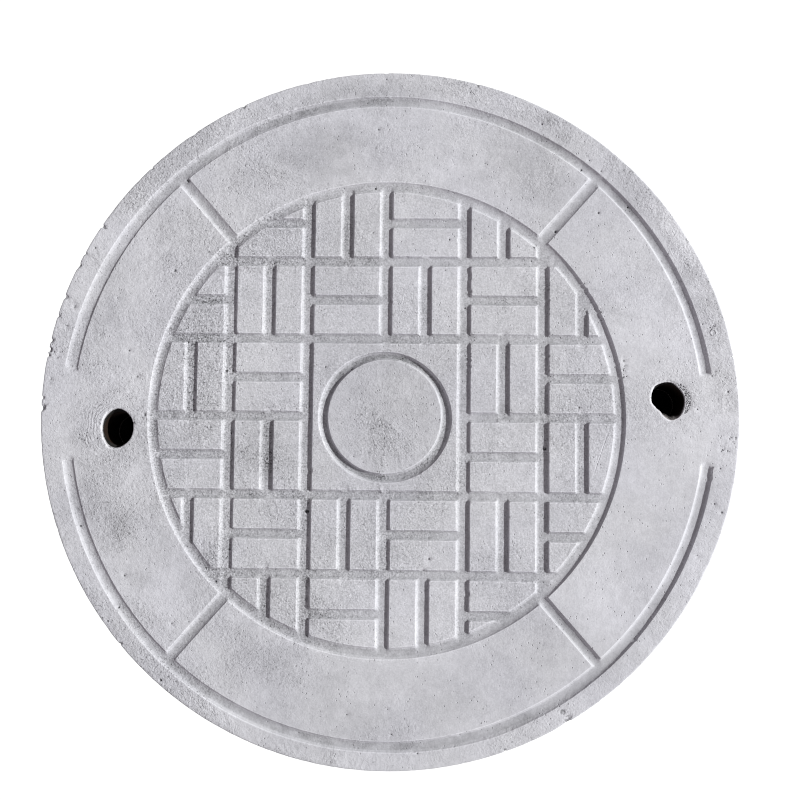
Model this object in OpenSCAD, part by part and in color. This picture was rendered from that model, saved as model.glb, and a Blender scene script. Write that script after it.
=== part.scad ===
// Round precast reinforced-concrete manhole cover.
// Grooved top face with a basket-weave pattern, two through holes for lifting hooks,
// and a two-layer steel cage cast inside.
// Frame: millimetres, +Z up, origin at the centre of the underside.

/* [Cover body] */
// Diameter of the top face
cover_d = 700; // [680:1:760]
// Thickness from underside to top face
cover_t = 70; // [68:1:100]
// How much smaller the underside's radius is than the top's, for release from the mould
edge_draft = 5; // [1:0.5:8]
// Chamfer on the top edge
top_chamfer = 2; // [0.5:0.5:4]
// Chamfer on the bottom edge
bottom_chamfer = 2; // [0.5:0.5:5]

/* [Pattern layout] */
// Offset along X of the pattern's centre from the disc's centre
pattern_dx = -2; // [-4:0.5:4]
// Offset along Y of the pattern's centre from the disc's centre
pattern_dy = -2.5; // [-4:0.5:4]
// Size of one basket-weave cell, groove centre to groove centre
cell = 78.4; // [72:0.1:80]
// Radius of the centre ring groove, at its middle
ring_r = 61.9; // [50:0.1:66]
// Radius of the circle groove that frames the basket weave, at its middle
frame_r = 234; // [225:0.5:238]
// Radius of the two outer arc grooves, at their middle
arc_r = 322.7; // [315:0.1:326]
// Angle from the X axis to each end of an arc groove
arc_gap = 8.5; // [6:0.5:12]
// Angle from the X axis to each radial groove
radial_angle = 49; // [40:1:55]

/* [Groove sections] */
// Width of the basket-weave grooves at the top face
groove_w = 14; // [10:0.5:16]
// Width of the basket-weave grooves' flat floor
groove_floor = 7; // [4:0.5:8]
// Depth of the flat-floored grooves
groove_depth = 3.5; // [2:0.25:4]
// Width of the framing circle's and radial grooves at the top face
frame_groove_w = 12.5; // [9:0.5:15]
// Width of the rounded arc grooves at the top face
arc_groove_w = 13.5; // [10:0.5:16]
// Depth of the rounded arc grooves
arc_groove_depth = 4; // [2:0.25:4.5]
// Width of the centre ring's rounded groove at the top face
ring_groove_w = 10.5; // [8:0.5:12]
// Depth of the centre ring's rounded groove
ring_groove_depth = 4.5; // [2:0.25:4.75]

/* [Lifting holes] */
// Distance between the two lifting holes' centres
hole_pitch = 552; // [544:1:556]
// Angle of the line through the holes, from the X axis
hole_line_angle = 3.35; // [0:0.05:5]
// Offset along X of the point midway between the holes
hole_mid_dx = 4.5; // [-4:0.5:5]
// Inside diameter of the steel sleeves, which is the clear hole
sleeve_bore = 34; // [32:0.5:34.5]
// Wall thickness of the sleeves
sleeve_wall = 2; // [1.5:0.25:2.5]
// Depth of the concrete lip above each sleeve
sleeve_recess = 12; // [8:1:16]
// Diameter of the concrete lip where it meets the sleeve
lip_low_d = 35; // [35:0.5:36]
// Diameter of the concrete lip at the top face
lip_top_d = 37.4; // [36.4:0.1:40]

/* [Cage] */
// Diameter of the bottom mat's bars
bottom_bar_d = 10; // [8:1:10]
// Diameter of the top mat's bars
top_bar_d = 6; // [5:0.5:6]
// Diameter of the edge hoops
hoop_d = 8; // [6:1:8]
// Diameter of the links, spacer bars and U bars
link_d = 6; // [5:0.5:6]
// Concrete under the bottom main bars
bottom_clear = 15; // [15:1:18]
// Side concrete between the hoops' centre line and the top edge
hoop_inset = 32; // [30:1:34]
// Distance between bottom mat bars
bottom_pitch = 90; // [86:1:92]
// Distance between top mat bars
top_pitch = 120; // [116:1:122]
// Diameter of the tie wire
wire_d = 1.2; // [0.8:0.1:1.2]

/* [Hidden] */
$fn = 96;

steel = "sienna";
sleeve_colour = "saddlebrown";
wire_colour = "dimgray";

over = 1; // how far cutting shapes reach past a face
gap = 0.4; // left between pieces that are tied together
top_r = cover_d / 2;
hoop_r = top_r - hoop_inset;

// Basket weave: shorter pieces than this are left out at the framing circle
min_groove = 5;
cells_across = 6;

// Bars in each direction of each mat
bottom_bars = 6;
top_bars = 4;
bar_end_gap = 0.5; // from a bar's end to the hoops

// Heights of the cage's layers, from the underside up
z_main = bottom_clear + bottom_bar_d / 2;
z_cross = z_main + bottom_bar_d + gap;
z_spacer = z_cross + bottom_bar_d / 2 + link_d / 2 + gap;
z_top_cross = z_spacer + link_d / 2 + top_bar_d / 2 + gap;
z_top_main = z_top_cross + top_bar_d + gap;
z_low_hoop = z_main + 5;
z_high_hoop = z_top_cross + 1.4;

// Edge links
link_bend = hoop_d / 2 + link_d / 2 + gap; // centre-line radius round a hoop
link_arm = 22;
link_angles = [for (half = [0, 180], a = [17, 32, 54.5, 73]) each [half + a, half - a]];

// Mat spacer bars
spacer_length = 160;
spacer_mid_y = 85;
spacer_side = [130, 110];

// Lifting sleeves and U bars
sleeve_r = sleeve_bore / 2 + sleeve_wall;
sleeve_top = cover_t - sleeve_recess;
u_bar_bend = sleeve_r + link_d / 2 + gap;
u_bar_end_x = 146; // distance in X from the disc's centre to the ends of the legs

// Tie wires
tie_slack = 0.3;
tie_hoop_margin = 25; // bottom crossings nearer the hoops than this are not tied

// Centre of a lifting hole; side is -1 for left (-X), 1 for right
function hole_centre(side) =
    [hole_mid_dx + side * hole_pitch / 2 * cos(hole_line_angle),
     side * hole_pitch / 2 * sin(hole_line_angle)];

// Place of item i, counted from 1, in a row centred on zero
function row_place(i, count, pitch) = (i - (count + 1) / 2) * pitch;
function bottom_at(i) = row_place(i, bottom_bars, bottom_pitch);
function top_at(i) = row_place(i, top_bars, top_pitch);

// Length of a mat bar at this distance from the centre, ending inside the hoops
function bar_length(offset, diameter) =
    2 * sqrt(pow(hoop_r - hoop_d / 2 - bar_end_gap, 2) - pow(abs(offset) + diameter / 2, 2));

// Half chord of the framing circle at this distance from the pattern's centre
function half_chord(offset) =
    abs(offset) < frame_r ? sqrt(frame_r * frame_r - offset * offset) : 0;

/* ---- cutting shapes for the top face ---- */

// Trapezoid section of a flat-floored groove, with the top face at y = 0
module flat_section(width) {
    floor_w = groove_floor * width / groove_w;
    flare = (width - floor_w) / 2 / groove_depth * over;
    polygon([
        [-floor_w / 2, -groove_depth], [floor_w / 2, -groove_depth],
        [width / 2 + flare, over], [-width / 2 - flare, over]]);
}

// Circle that cuts a rounded groove centred at this radius, with the top face at y = 0
module round_section(radius, width, depth) {
    cutter_r = (width * width / 4 + depth * depth) / (2 * depth);
    translate([radius, cutter_r - depth]) circle(cutter_r);
}

// Flat-floored groove along X
module straight_groove(start, stop, width) {
    translate([start, 0, 0]) rotate([90, 0, 90])
        linear_extrude(stop - start) flat_section(width);
}

// Groove parallel to X or Y at an offset from the pattern's centre,
// cut off by the framing circle
module weave_groove(offset, span, along_y) {
    start = max(span[0], -half_chord(offset));
    stop = min(span[1], half_chord(offset));
    if (stop - start > min_groove)
        translate(along_y ? [offset, 0, 0] : [0, offset, 0])
            rotate([0, 0, along_y ? 90 : 0])
                straight_groove(start, stop, groove_w);
}

// Lines between the cells: the middle ones stop at the plain centre panel
module cell_lines() {
    for (along_y = [false, true]) {
        for (k = [-2, -1, 1, 2])
            weave_groove(k * cell, [-frame_r, frame_r], along_y);
        for (span = [[-frame_r, -cell], [cell, frame_r]])
            weave_groove(0, span, along_y);
    }
}

// One groove through the middle of each cell, turned a quarter from cell to cell,
// leaving out the four cells of the centre panel
module cell_middles() {
    for (i = [1:cells_across], j = [1:cells_across]) {
        x = row_place(i, cells_across, cell);
        y = -row_place(j, cells_across, cell);
        along_y = (i + j) % 2 == 0;
        along = along_y ? y : x;
        if (max(abs(x), abs(y)) > cell)
            weave_groove(along_y ? x : y, [along - cell / 2, along + cell / 2], along_y);
    }
}

module frame_circle() {
    rotate_extrude() translate([frame_r, 0]) flat_section(frame_groove_w);
}

module centre_ring() {
    rotate_extrude() round_section(ring_r, ring_groove_w, ring_groove_depth);
}

module outer_arcs() {
    for (a = [arc_gap, 180 + arc_gap]) rotate([0, 0, a])
        rotate_extrude(angle = 180 - 2 * arc_gap)
            round_section(arc_r, arc_groove_w, arc_groove_depth);
}

module radial_grooves() {
    for (half = [0, 180], side = [-1, 1])
        rotate([0, 0, half + side * radial_angle])
            straight_groove(frame_r, arc_r, frame_groove_w);
}

module top_pattern() {
    translate([pattern_dx, pattern_dy, cover_t]) {
        cell_lines();
        cell_middles();
        frame_circle();
        centre_ring();
        outer_arcs();
        radial_grooves();
    }
}

/* ---- cage pieces ---- */

// Straight bar along X, centred
module bar_x(length, diameter) {
    rotate([0, 90, 0]) cylinder(h = length, d = diameter, center = true);
}

// Mat bar parallel to X or Y
module mat_bar(offset, z, diameter, along_y) {
    color(steel) translate(along_y ? [offset, 0, z] : [0, offset, z])
        rotate([0, 0, along_y ? 90 : 0])
            bar_x(bar_length(offset, diameter), diameter);
}

module bottom_main_bar(i) { mat_bar(bottom_at(i), z_main, bottom_bar_d, false); }
module bottom_cross_bar(i) { mat_bar(bottom_at(i), z_cross, bottom_bar_d, true); }
module top_main_bar(i) { mat_bar(top_at(i), z_top_main, top_bar_d, false); }
module top_cross_bar(i) { mat_bar(top_at(i), z_top_cross, top_bar_d, true); }

module hoop(z) {
    color(steel) translate([0, 0, z])
        rotate_extrude() translate([hoop_r, 0]) circle(d = hoop_d);
}
module bottom_hoop() { hoop(z_low_hoop); }
module top_hoop() { hoop(z_high_hoop); }

// Quarter bend of a link round a hoop, from start_angle up in the XZ plane
module link_corner(z, start_angle) {
    translate([hoop_r, 0, z]) rotate([90, 0, 0]) rotate([0, 0, start_angle])
        rotate_extrude(angle = 90) translate([link_bend, 0]) circle(d = link_d);
}

// U-shaped link in the XZ plane, open towards the centre, bent round both hoops
module edge_link() {
    for (z = [z_low_hoop - link_bend, z_high_hoop + link_bend])
        translate([hoop_r - link_arm, 0, z]) rotate([0, 90, 0])
            cylinder(h = link_arm, d = link_d);
    translate([hoop_r + link_bend, 0, z_low_hoop])
        cylinder(h = z_high_hoop - z_low_hoop, d = link_d);
    link_corner(z_low_hoop, -90);
    link_corner(z_high_hoop, 0);
}

module edge_links() {
    color(steel) for (a = link_angles) rotate([0, 0, a]) edge_link();
}

// Short bars that hold the top mat up off the bottom mat
module mat_spacer_bars() {
    color(steel) for (side_y = [-1, 1]) {
        translate([0, side_y * spacer_mid_y, z_spacer]) bar_x(spacer_length, link_d);
        for (side_x = [-1, 1])
            translate([side_x * spacer_side[0], side_y * spacer_side[1], z_spacer])
                bar_x(spacer_length, link_d);
    }
}

module sleeve(side) {
    color(sleeve_colour) translate(concat(hole_centre(side), 0)) difference() {
        cylinder(h = sleeve_top, r = sleeve_r);
        translate([0, 0, -over]) cylinder(h = sleeve_top + 2 * over, d = sleeve_bore);
    }
}
module lifting_sleeve_left() { sleeve(-1); }
module lifting_sleeve_right() { sleeve(1); }

// Hairpin round the outer side of a sleeve, with legs back into the mats
module u_bar(side) {
    centre = hole_centre(side);
    leg = abs(centre[0]) - u_bar_end_x;
    color(steel) translate(concat(centre, z_spacer)) rotate([0, 0, side > 0 ? 0 : 180]) {
        rotate([0, 0, -90]) rotate_extrude(angle = 180)
            translate([u_bar_bend, 0]) circle(d = link_d);
        for (s = [-1, 1])
            translate([-leg, s * u_bar_bend, 0]) rotate([0, 90, 0])
                cylinder(h = leg, d = link_d);
    }
}
module lifting_u_bar_left() { u_bar(-1); }
module lifting_u_bar_right() { u_bar(1); }

// Closed wire loop round two crossed bars, standing at 45 degrees across the crossing
module tie(bar_d) {
    loop_r = bar_d + gap / 2 + wire_d / 2 + tie_slack;
    rotate([0, 0, 45]) rotate([90, 0, 0])
        rotate_extrude() translate([loop_r, 0]) circle(d = wire_d);
}

// Every second crossing is tied, in a chequered layout
module bottom_tie_wires() {
    z = (z_main + z_cross) / 2;
    color(wire_colour) for (i = [1:bottom_bars], j = [1:bottom_bars]) {
        x = bottom_at(i);
        y = bottom_at(j);
        if ((i + j) % 2 == 1 && norm([x, y]) < hoop_r - tie_hoop_margin)
            translate([x, y, z]) tie(bottom_bar_d);
    }
}

module top_tie_wires() {
    z = (z_top_main + z_top_cross) / 2;
    color(wire_colour) for (i = [1:top_bars], j = [1:top_bars])
        if ((i + j) % 2 == 0)
            translate([top_at(i), top_at(j), z]) tie(top_bar_d);
}

/* ---- concrete ---- */

// Tapered disc with both edges chamfered
module blank() {
    bottom_r = top_r - edge_draft;
    slope = edge_draft / cover_t;
    rotate_extrude() polygon([
        [0, 0],
        [bottom_r - bottom_chamfer, 0],
        [bottom_r + slope * bottom_chamfer, bottom_chamfer],
        [top_r - slope * top_chamfer, cover_t - top_chamfer],
        [top_r - top_chamfer, cover_t],
        [0, cover_t]]);
}

// Seat of the steel sleeve with the slightly flared concrete lip above it
module lifting_hole(side) {
    flare = (lip_top_d - lip_low_d) / 2 / sleeve_recess * over;
    translate(concat(hole_centre(side), 0)) {
        translate([0, 0, -over]) cylinder(h = sleeve_top + over, r = sleeve_r);
        translate([0, 0, sleeve_top])
            cylinder(h = sleeve_recess + over, r1 = lip_low_d / 2, r2 = lip_top_d / 2 + flare);
    }
}

// The cage is cut out of the concrete, so that no two pieces overlap
module concrete_slab() {
    color("lightgray") difference() {
        blank();
        top_pattern();
        lifting_hole(-1);
        lifting_hole(1);
        for (i = [1:bottom_bars]) {
            bottom_main_bar(i);
            bottom_cross_bar(i);
        }
        for (i = [1:top_bars]) {
            top_main_bar(i);
            top_cross_bar(i);
        }
        bottom_hoop();
        top_hoop();
        edge_links();
        mat_spacer_bars();
        lifting_u_bar_left();
        lifting_u_bar_right();
        bottom_tie_wires();
        top_tie_wires();
    }
}

concrete_slab();
bottom_main_bar(1);  // bottom_main_bar_1
bottom_main_bar(2);  // bottom_main_bar_2
bottom_main_bar(3);  // bottom_main_bar_3
bottom_main_bar(4);  // bottom_main_bar_4
bottom_main_bar(5);  // bottom_main_bar_5
bottom_main_bar(6);  // bottom_main_bar_6
bottom_cross_bar(1);  // bottom_cross_bar_1
bottom_cross_bar(2);  // bottom_cross_bar_2
bottom_cross_bar(3);  // bottom_cross_bar_3
bottom_cross_bar(4);  // bottom_cross_bar_4
bottom_cross_bar(5);  // bottom_cross_bar_5
bottom_cross_bar(6);  // bottom_cross_bar_6
bottom_hoop();
top_main_bar(1);  // top_main_bar_1
top_main_bar(2);  // top_main_bar_2
top_main_bar(3);  // top_main_bar_3
top_main_bar(4);  // top_main_bar_4
top_cross_bar(1);  // top_cross_bar_1
top_cross_bar(2);  // top_cross_bar_2
top_cross_bar(3);  // top_cross_bar_3
top_cross_bar(4);  // top_cross_bar_4
top_hoop();
edge_links();
mat_spacer_bars();
lifting_sleeve_left();
lifting_sleeve_right();
lifting_u_bar_left();
lifting_u_bar_right();
bottom_tie_wires();
top_tie_wires();
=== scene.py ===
import math
import bpy
import numpy as np
from mathutils import Matrix, Vector
from mathutils.geometry import delaunay_2d_cdt


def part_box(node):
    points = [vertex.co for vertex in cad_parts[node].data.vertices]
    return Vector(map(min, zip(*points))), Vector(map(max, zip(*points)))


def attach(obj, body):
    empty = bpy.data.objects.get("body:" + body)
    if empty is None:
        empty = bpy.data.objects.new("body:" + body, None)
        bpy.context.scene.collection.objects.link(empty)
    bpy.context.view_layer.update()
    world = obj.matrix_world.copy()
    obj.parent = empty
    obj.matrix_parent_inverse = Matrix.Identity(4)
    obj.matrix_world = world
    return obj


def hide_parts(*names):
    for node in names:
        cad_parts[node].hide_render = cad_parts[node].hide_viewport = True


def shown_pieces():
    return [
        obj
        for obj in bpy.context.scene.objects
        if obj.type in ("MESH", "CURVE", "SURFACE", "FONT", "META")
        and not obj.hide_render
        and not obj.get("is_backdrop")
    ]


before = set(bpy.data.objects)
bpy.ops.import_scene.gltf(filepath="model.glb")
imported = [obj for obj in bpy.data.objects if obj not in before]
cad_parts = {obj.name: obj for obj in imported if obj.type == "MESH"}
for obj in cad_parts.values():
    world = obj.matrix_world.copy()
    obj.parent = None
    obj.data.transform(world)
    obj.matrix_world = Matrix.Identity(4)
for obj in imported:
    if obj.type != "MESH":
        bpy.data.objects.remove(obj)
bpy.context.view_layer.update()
SEED = 41
rng = np.random.default_rng(SEED)

# ---------------------------------------------------------------- sizes, in mm, from the CAD frame
MM = 1000.0
slab_lo, slab_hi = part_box("concrete_slab")
TOP = slab_hi.z * MM
RIM = min(slab_hi.x, slab_hi.y, -slab_lo.x, -slab_lo.y) * MM - 0.02
DRAFT = 5.0 / 70.0
PX, PY = -2.0, -2.5
CELL, FRAME_R, RING_R, ARC_R = 78.4, 234.0, 61.9, 322.7
ARC_GAP, RADIAL = 8.5, 49.0


def sleeve(node):
    lo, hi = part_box(node)
    return (lo.x + hi.x) / 2 * MM, (lo.y + hi.y) / 2 * MM, (hi.x - lo.x) / 2 * MM, hi.z * MM


HOLES = [sleeve("lifting_sleeve_left"), sleeve("lifting_sleeve_right")]


# ---------------------------------------------------------------- noise
def lattice(ix, iy, seed):
    n = (ix.astype(np.int64) * 374761393 + iy.astype(np.int64) * 668265263 + (seed * 974634777 & 0xFFFFFFF)) & 0xFFFFFFFF
    n = ((n ^ (n >> 13)) * 1274126177) & 0xFFFFFFFF
    n = ((n ^ (n >> 16)) * 2246822519) & 0xFFFFFFFF
    return (n & 0xFFFF) / 32767.5 - 1.0


def noise(x, y, seed):
    ix, iy = np.floor(x), np.floor(y)
    fx, fy = x - ix, y - iy
    ux, uy = fx * fx * fx * (fx * (fx * 6 - 15) + 10), fy * fy * fy * (fy * (fy * 6 - 15) + 10)
    a, b = lattice(ix, iy, seed), lattice(ix + 1, iy, seed)
    c, d = lattice(ix, iy + 1, seed), lattice(ix + 1, iy + 1, seed)
    return (a * (1 - ux) + b * ux) * (1 - uy) + (c * (1 - ux) + d * ux) * uy


def fbm(x, y, size, seed, octaves=3, gain=0.5):
    x, y = np.asarray(x, float), np.asarray(y, float)
    total, amp, norm = 0.0, 1.0, 0.0
    for k in range(octaves):
        total = total + amp * noise(x / size * 2**k + 17.3 * k, y / size * 2**k - 9.1 * k, seed + 31 * k)
        norm += amp
        amp *= gain
    return total / norm


def smooth(lo, hi, v):
    t = np.clip((np.asarray(v, float) - lo) / (hi - lo), 0, 1)
    return t * t * (3 - 2 * t)


# ---------------------------------------------------------------- grooves of the top face
def ramp(t, k=0.05):
    """0 outside a groove's arris, 1 on its floor, with both corners softened."""
    return 0.5 * (np.sqrt(t * t + k * k) - np.sqrt((t - 1) ** 2 + k * k) + 1)


class Groove:
    """A groove along a line or a circle about the pattern's centre. s runs along it and l across it, in mm."""

    def __init__(self, w, depth, seed, walls=(3.0, 3.0), rounded=False, chips=1.0, clip=False):
        self.w, self.depth, self.seed, self.walls, self.rounded, self.chips, self.clip = w, depth, seed, walls, rounded, chips, clip
        self.ragged, self.shallow = [], []

    def bites(self):
        r = np.random.default_rng(self.seed * 7 + 3)
        n = r.poisson(self.length / 130.0 * self.chips)
        self.spots = [
            (r.uniform(0, self.length), r.choice((-1, 1)), 0.25 + 0.8 * r.random() ** 2.2, 1.0 + 2.0 * r.random() ** 1.5)
            for _ in range(n)
        ]

    def along(self, s, at):
        gap = np.abs(s - at)
        return np.minimum(gap, self.length - gap) if self.closed else gap

    def shift(self, s, side):
        """How far the arris stands out from its nominal line: a slow wander, small broken bites, ragged stretches."""
        out = self.extra(s, side) + 0.14 * fbm(s, 0 * s + side * 50, 34, self.seed, 2) + 0.07 * fbm(s, 0 * s + side * 50, 4.2, self.seed + 5, 2)
        for at, where, amp, half in self.spots:
            out = out + (side == where) * amp * np.maximum(0, 1 - (self.along(s, at) / half) ** 2) ** 0.8
        for at, reach, where, amp in self.ragged:
            out = out + (side == where) * amp * smooth(reach, 0.7 * reach, self.along(s, at)) * smooth(-0.1, 0.4, noise(s / 1.2, 0 * s + 3.7, self.seed + 8))
        return out

    def drop(self, x, y):
        """Depth below the face at a point."""
        s, l, e = self.local(x, y)
        dist = np.hypot(l, e)
        near = dist < self.w / 2 + 7
        out = np.zeros_like(dist)
        if near.any():
            s, l, d = s[near], l[near], dist[near]
            side = np.where(l >= 0, 1, -1)
            half = self.w / 2 + self.shift(s, side)
            if self.rounded:
                deep, power = self.form(s, side)
                q = 1 - (d / half) ** power
                out[near] = deep * 0.5 * (q + np.sqrt(q * q + 0.004)) * smooth(half + 1.8, half + 0.3, d)
            else:
                out[near] = self.depth * ramp((half - d) / np.where(side > 0, self.walls[0], self.walls[1]))
                for at, reach, part in self.shallow:
                    out[near] *= 1 - part * smooth(reach + 5, reach - 5, np.abs(s - at))
            if self.clip:
                out[near] *= smooth(FRAME_R + 2.5, FRAME_R - 0.5, np.hypot(x[near] - PX, y[near] - PY))
        return out

    def deep(self, x, y):
        return self.depth

    def gap(self, x, y):
        """Distance from the groove's arris, in mm: positive outside the groove, negative inside."""
        s, l, e = self.local(x, y)
        d = np.hypot(l, e) - self.w / 2
        near = d < 4
        d[near] -= self.shift(s[near], np.where(l[near] >= 0, 1, -1))
        return np.maximum(d, np.hypot(x - PX, y - PY) - FRAME_R - 2) if self.clip else d

    def rows(self):
        a = self.w / 2
        todo = []
        for side in (1, -1):
            if self.rounded:
                offs = [(0.3 * a, 2.6, 0), (0.54 * a, 2.3, 0), (0.72 * a, 2.1, 0), (0.87 * a, 1.9, 0), (a - 0.4, 1.7, 1), (a, 1.6, 1), (a + 0.4, 1.8, 1), (a + 1.5, 2.6, 0)]
            else:
                wall = self.walls[0 if side > 0 else 1]
                f = a - wall
                offs = [(f - 1.4, 2.8, 0), (f, 2.0, 1), (f + 0.4, 2.2, 0), (a - 0.5 * wall, 2.2, 0), (a - 0.4, 1.8, 1), (a, 1.7, 1), (a + 0.4, 1.8, 1), (a + 1.5, 2.6, 0)]
            todo += [(side, *o) for o in offs]
        todo.append((1, 0.0, 3.0, 0))
        for side, off, step, keep in sorted(todo, key=lambda o: (-o[3], abs(o[1] - a))):
            n = max(2, int(round(self.length / (1.38 * step))))
            s = (np.arange(n) + 0.5 * (not self.closed)) / n * self.length
            if abs(off - a) < 0.5:
                for at, reach, where, _ in self.ragged:
                    if where == side:
                        fine = at + np.arange(-reach, reach, 0.6)
                        s = np.concatenate([s[self.along(s, at) > reach], np.mod(fine, self.length) if self.closed else fine[(fine > 0) & (fine < self.length)]])
                s = np.sort(s)
            moved = self.shift(s, side)
            l = side * (off + moved * (off > 0.5 * a) * min(1, off / a))
            x, y = self.place(s, l)
            yield x, y, bool(keep), step


class Line(Groove):
    closed = False

    def __init__(self, x0, y0, x1, y1, *a, adds=(0, 0), power=(3, 3), **k):
        super().__init__(*a, **k)
        self.adds, self.power = adds, power
        self.o, self.length = (x0, y0), math.hypot(x1 - x0, y1 - y0)
        self.t = ((x1 - x0) / self.length, (y1 - y0) / self.length)
        self.bites()

    def local(self, x, y):
        dx, dy = x - self.o[0], y - self.o[1]
        s = dx * self.t[0] + dy * self.t[1]
        return s, dy * self.t[0] - dx * self.t[1], np.maximum(0, np.maximum(-s, s - self.length))

    def extra(self, s, side):
        return np.where(side > 0, self.adds[0], self.adds[1])

    def form(self, s, side):
        return self.depth, np.where(side > 0, self.power[0], self.power[1])

    def place(self, s, l):
        return self.o[0] + s * self.t[0] - l * self.t[1], self.o[1] + s * self.t[1] + l * self.t[0]


class Arc(Groove):
    """Part of a circle, from a0 to a1 degrees, or all of it."""

    def __init__(self, r, a0, a1, *a, bend=(0, 0, 0), form, **k):
        """form: rows of angle, how much further out the outer and the inner arris lie, depth, and the power of the outer and inner wall."""
        super().__init__(*a, **k)
        self.bend, self.table = bend, np.array(form, float)
        self.r, self.a0, self.closed = r, math.radians(a0), a1 - a0 >= 360
        self.length = math.radians(a1 - a0) * r
        self.bites()

    def read(self, ang, column):
        return np.interp(np.degrees(ang), self.table[:, 0], self.table[:, column], period=360)

    def extra(self, s, side):
        ang = self.a0 + s / self.r
        return np.where(side > 0, self.read(ang, 1), self.read(ang, 2))

    def form(self, s, side):
        ang = self.a0 + s / self.r
        return self.read(ang, 3), np.where(side > 0, self.read(ang, 4), self.read(ang, 5))

    def deep(self, x, y):
        return self.read(np.arctan2(y - PY, x - PX), 3)

    def off(self, ang):
        """How far the groove strays from a true circle."""
        return self.bend[0] * np.cos(ang) + self.bend[1] * np.sin(ang) + self.bend[2] * np.cos(2 * ang)

    def local(self, x, y):
        turn = np.arctan2(y - PY, x - PX)
        ang = np.mod(turn - self.a0, 2 * math.pi)
        s, l = ang * self.r, np.hypot(x - PX, y - PY) - self.r - self.off(turn)
        if self.closed:
            return s, l, 0 * s
        past = np.minimum(s - self.length, 2 * math.pi * self.r - s)
        e = np.maximum(0, past + 1.2)
        back = np.where(s < self.length, np.maximum(0, 1.2 - np.minimum(s, self.length - s)), 0)
        # the ends are nearly square, with small corners
        return s, l, np.where(s > self.length, e, back) * 3.2

    def place(self, s, l):
        ang = self.a0 + s / self.r
        r = self.r + l + self.off(ang)
        return PX + r * np.cos(ang), PY + r * np.sin(ang)


def chord(c):
    return math.sqrt(FRAME_R * FRAME_R - c * c) if abs(c) < FRAME_R else 0.0


GROOVES = []
D = 3.5


def weave(along_x, c, a, b):
    lo, hi = max(a, -chord(c)), min(b, chord(c))
    if hi - lo > 5:
        k = len(GROOVES)
        vary = np.random.default_rng(900 + k).uniform(-0.5, 0.5, 2)
        over = 0.25 + 0.75 * min(1.0, max(0.0, (c + 20) / 80))
        p = (PX + lo, PY + c + 0.15, PX + hi, PY + c + 0.15) if along_x else (PX + c + over, PY + lo, PX + c + over, PY + hi)
        walls = (2.1 + 0.4 * vary[1], 2.0 - 0.4 * vary[1]) if along_x else (2.7 + 0.4 * vary[1], 1.9 if c < 20 else 1.3)
        GROOVES.append(Line(*p, (10.8 if along_x else 13.3) + 0.5 * vary[0], D, 100 + k, walls=walls, clip=True))


for k in (-2, -1, 1, 2):
    weave(True, k * CELL, -FRAME_R, FRAME_R)
    weave(False, k * CELL, -FRAME_R, FRAME_R)
for sgn in (-1, 1):
    for along_x in (True, False):
        weave(along_x, 0.0, -FRAME_R if sgn < 0 else CELL, -CELL if sgn < 0 else FRAME_R)
for i in range(6):
    for j in range(6):
        if i in (2, 3) and j in (2, 3):
            continue
        cx, cy = (i - 2.5) * CELL, (2.5 - j) * CELL
        if (i + j) % 2:
            weave(True, cy, cx - CELL / 2, cx + CELL / 2)
        else:
            weave(False, cx, cy - CELL / 2, cy + CELL / 2)
FRAME_FORM = [(0, 0.6, -1.0, 3.1, 7, 3), (45, 0.7, -0.5, 3.1, 2.6, 3), (90, -0.8, -0.7, 2.8, 3, 3.5), (135, -0.6, 0, 2.6, 2.6, 2.6), (180, -1.0, -0.6, 2.2, 2.5, 2.1), (225, -0.2, 0, 2.8, 3.4, 2.6), (270, -0.3, 0, 3.0, 3, 3), (315, 0.9, -0.4, 3.3, 4.5, 3)]
RING_FORM = [(0, 1.0, -0.9, 4.4, 3.4, 3), (45, -0.9, -1.5, 4.5, 2.2, 2.3), (90, -0.9, -1.3, 4.2, 2, 2.2), (135, -0.2, 0, 4.2, 2.5, 3), (180, -0.8, 0, 4.6, 2.2, 7), (225, -1.1, 0, 4.8, 2.1, 5), (270, -1.2, 0, 4.3, 2.5, 3), (315, 1.1, -0.5, 3.9, 2.6, 3)]
TOP_FORM = [(0, -0.4, -1.3, 3.3, 2.2, 3.5), (25, -0.4, -1.3, 3.3, 2.2, 3.5), (70, -1.6, -1.4, 3.0, 2.4, 4.5), (90, -1.6, -0.8, 2.7, 2.6, 4), (120, -0.4, 0, 2.7, 2.6, 3), (155, -1.1, 1.5, 2.1, 2.2, 8), (180, -1.1, 1.2, 1.8, 2.2, 6)]
LOW_FORM = [(180, -1.6, 0.4, 2.0, 2.2, 4), (205, -1.8, 0, 2.5, 2.1, 3), (240, -0.7, -0.3, 3.1, 2.4, 2.6), (270, -1.5, -0.8, 2.9, 3, 3.5), (290, 1.3, -1.4, 3.0, 3, 3), (335, 0.7, -1.5, 3.4, 7, 3), (360, 0.7, -1.4, 3.4, 7, 3)]
GROOVES.append(Arc(FRAME_R - 0.5, 0, 360, 12.0, 3.5, 301, rounded=True, bend=(0, -0.25, 0), form=FRAME_FORM))
GROOVES.append(Arc(RING_R - 0.4, 0, 360, 10.4, 4.5, 302, rounded=True, chips=0.6, bend=(0, -0.3, 0), form=RING_FORM))
GROOVES.append(Arc(ARC_R, ARC_GAP - 0.55, 180 - ARC_GAP, 13.0, 4.0, 303, rounded=True, bend=(-0.5, -0.9, -0.6), form=TOP_FORM))
GROOVES.append(Arc(ARC_R, 180 + ARC_GAP - 0.3, 360 - ARC_GAP + 0.3, 13.0, 4.0, 304, rounded=True, bend=(-0.5, -0.9, -0.6), form=LOW_FORM))
RADIALS = [(RADIAL - 0.25, (0, 0.6), (3, 3), 3.0), (180 - RADIAL - 0.1, (0, -0.3), (3.5, 1.8), 2.7), (180 + RADIAL - 0.16, (-0.4, 0.1), (3, 3), 2.9), (360 - RADIAL + 0.35, (0.3, -1.3), (2.2, 3.5), 3.8)]
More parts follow.
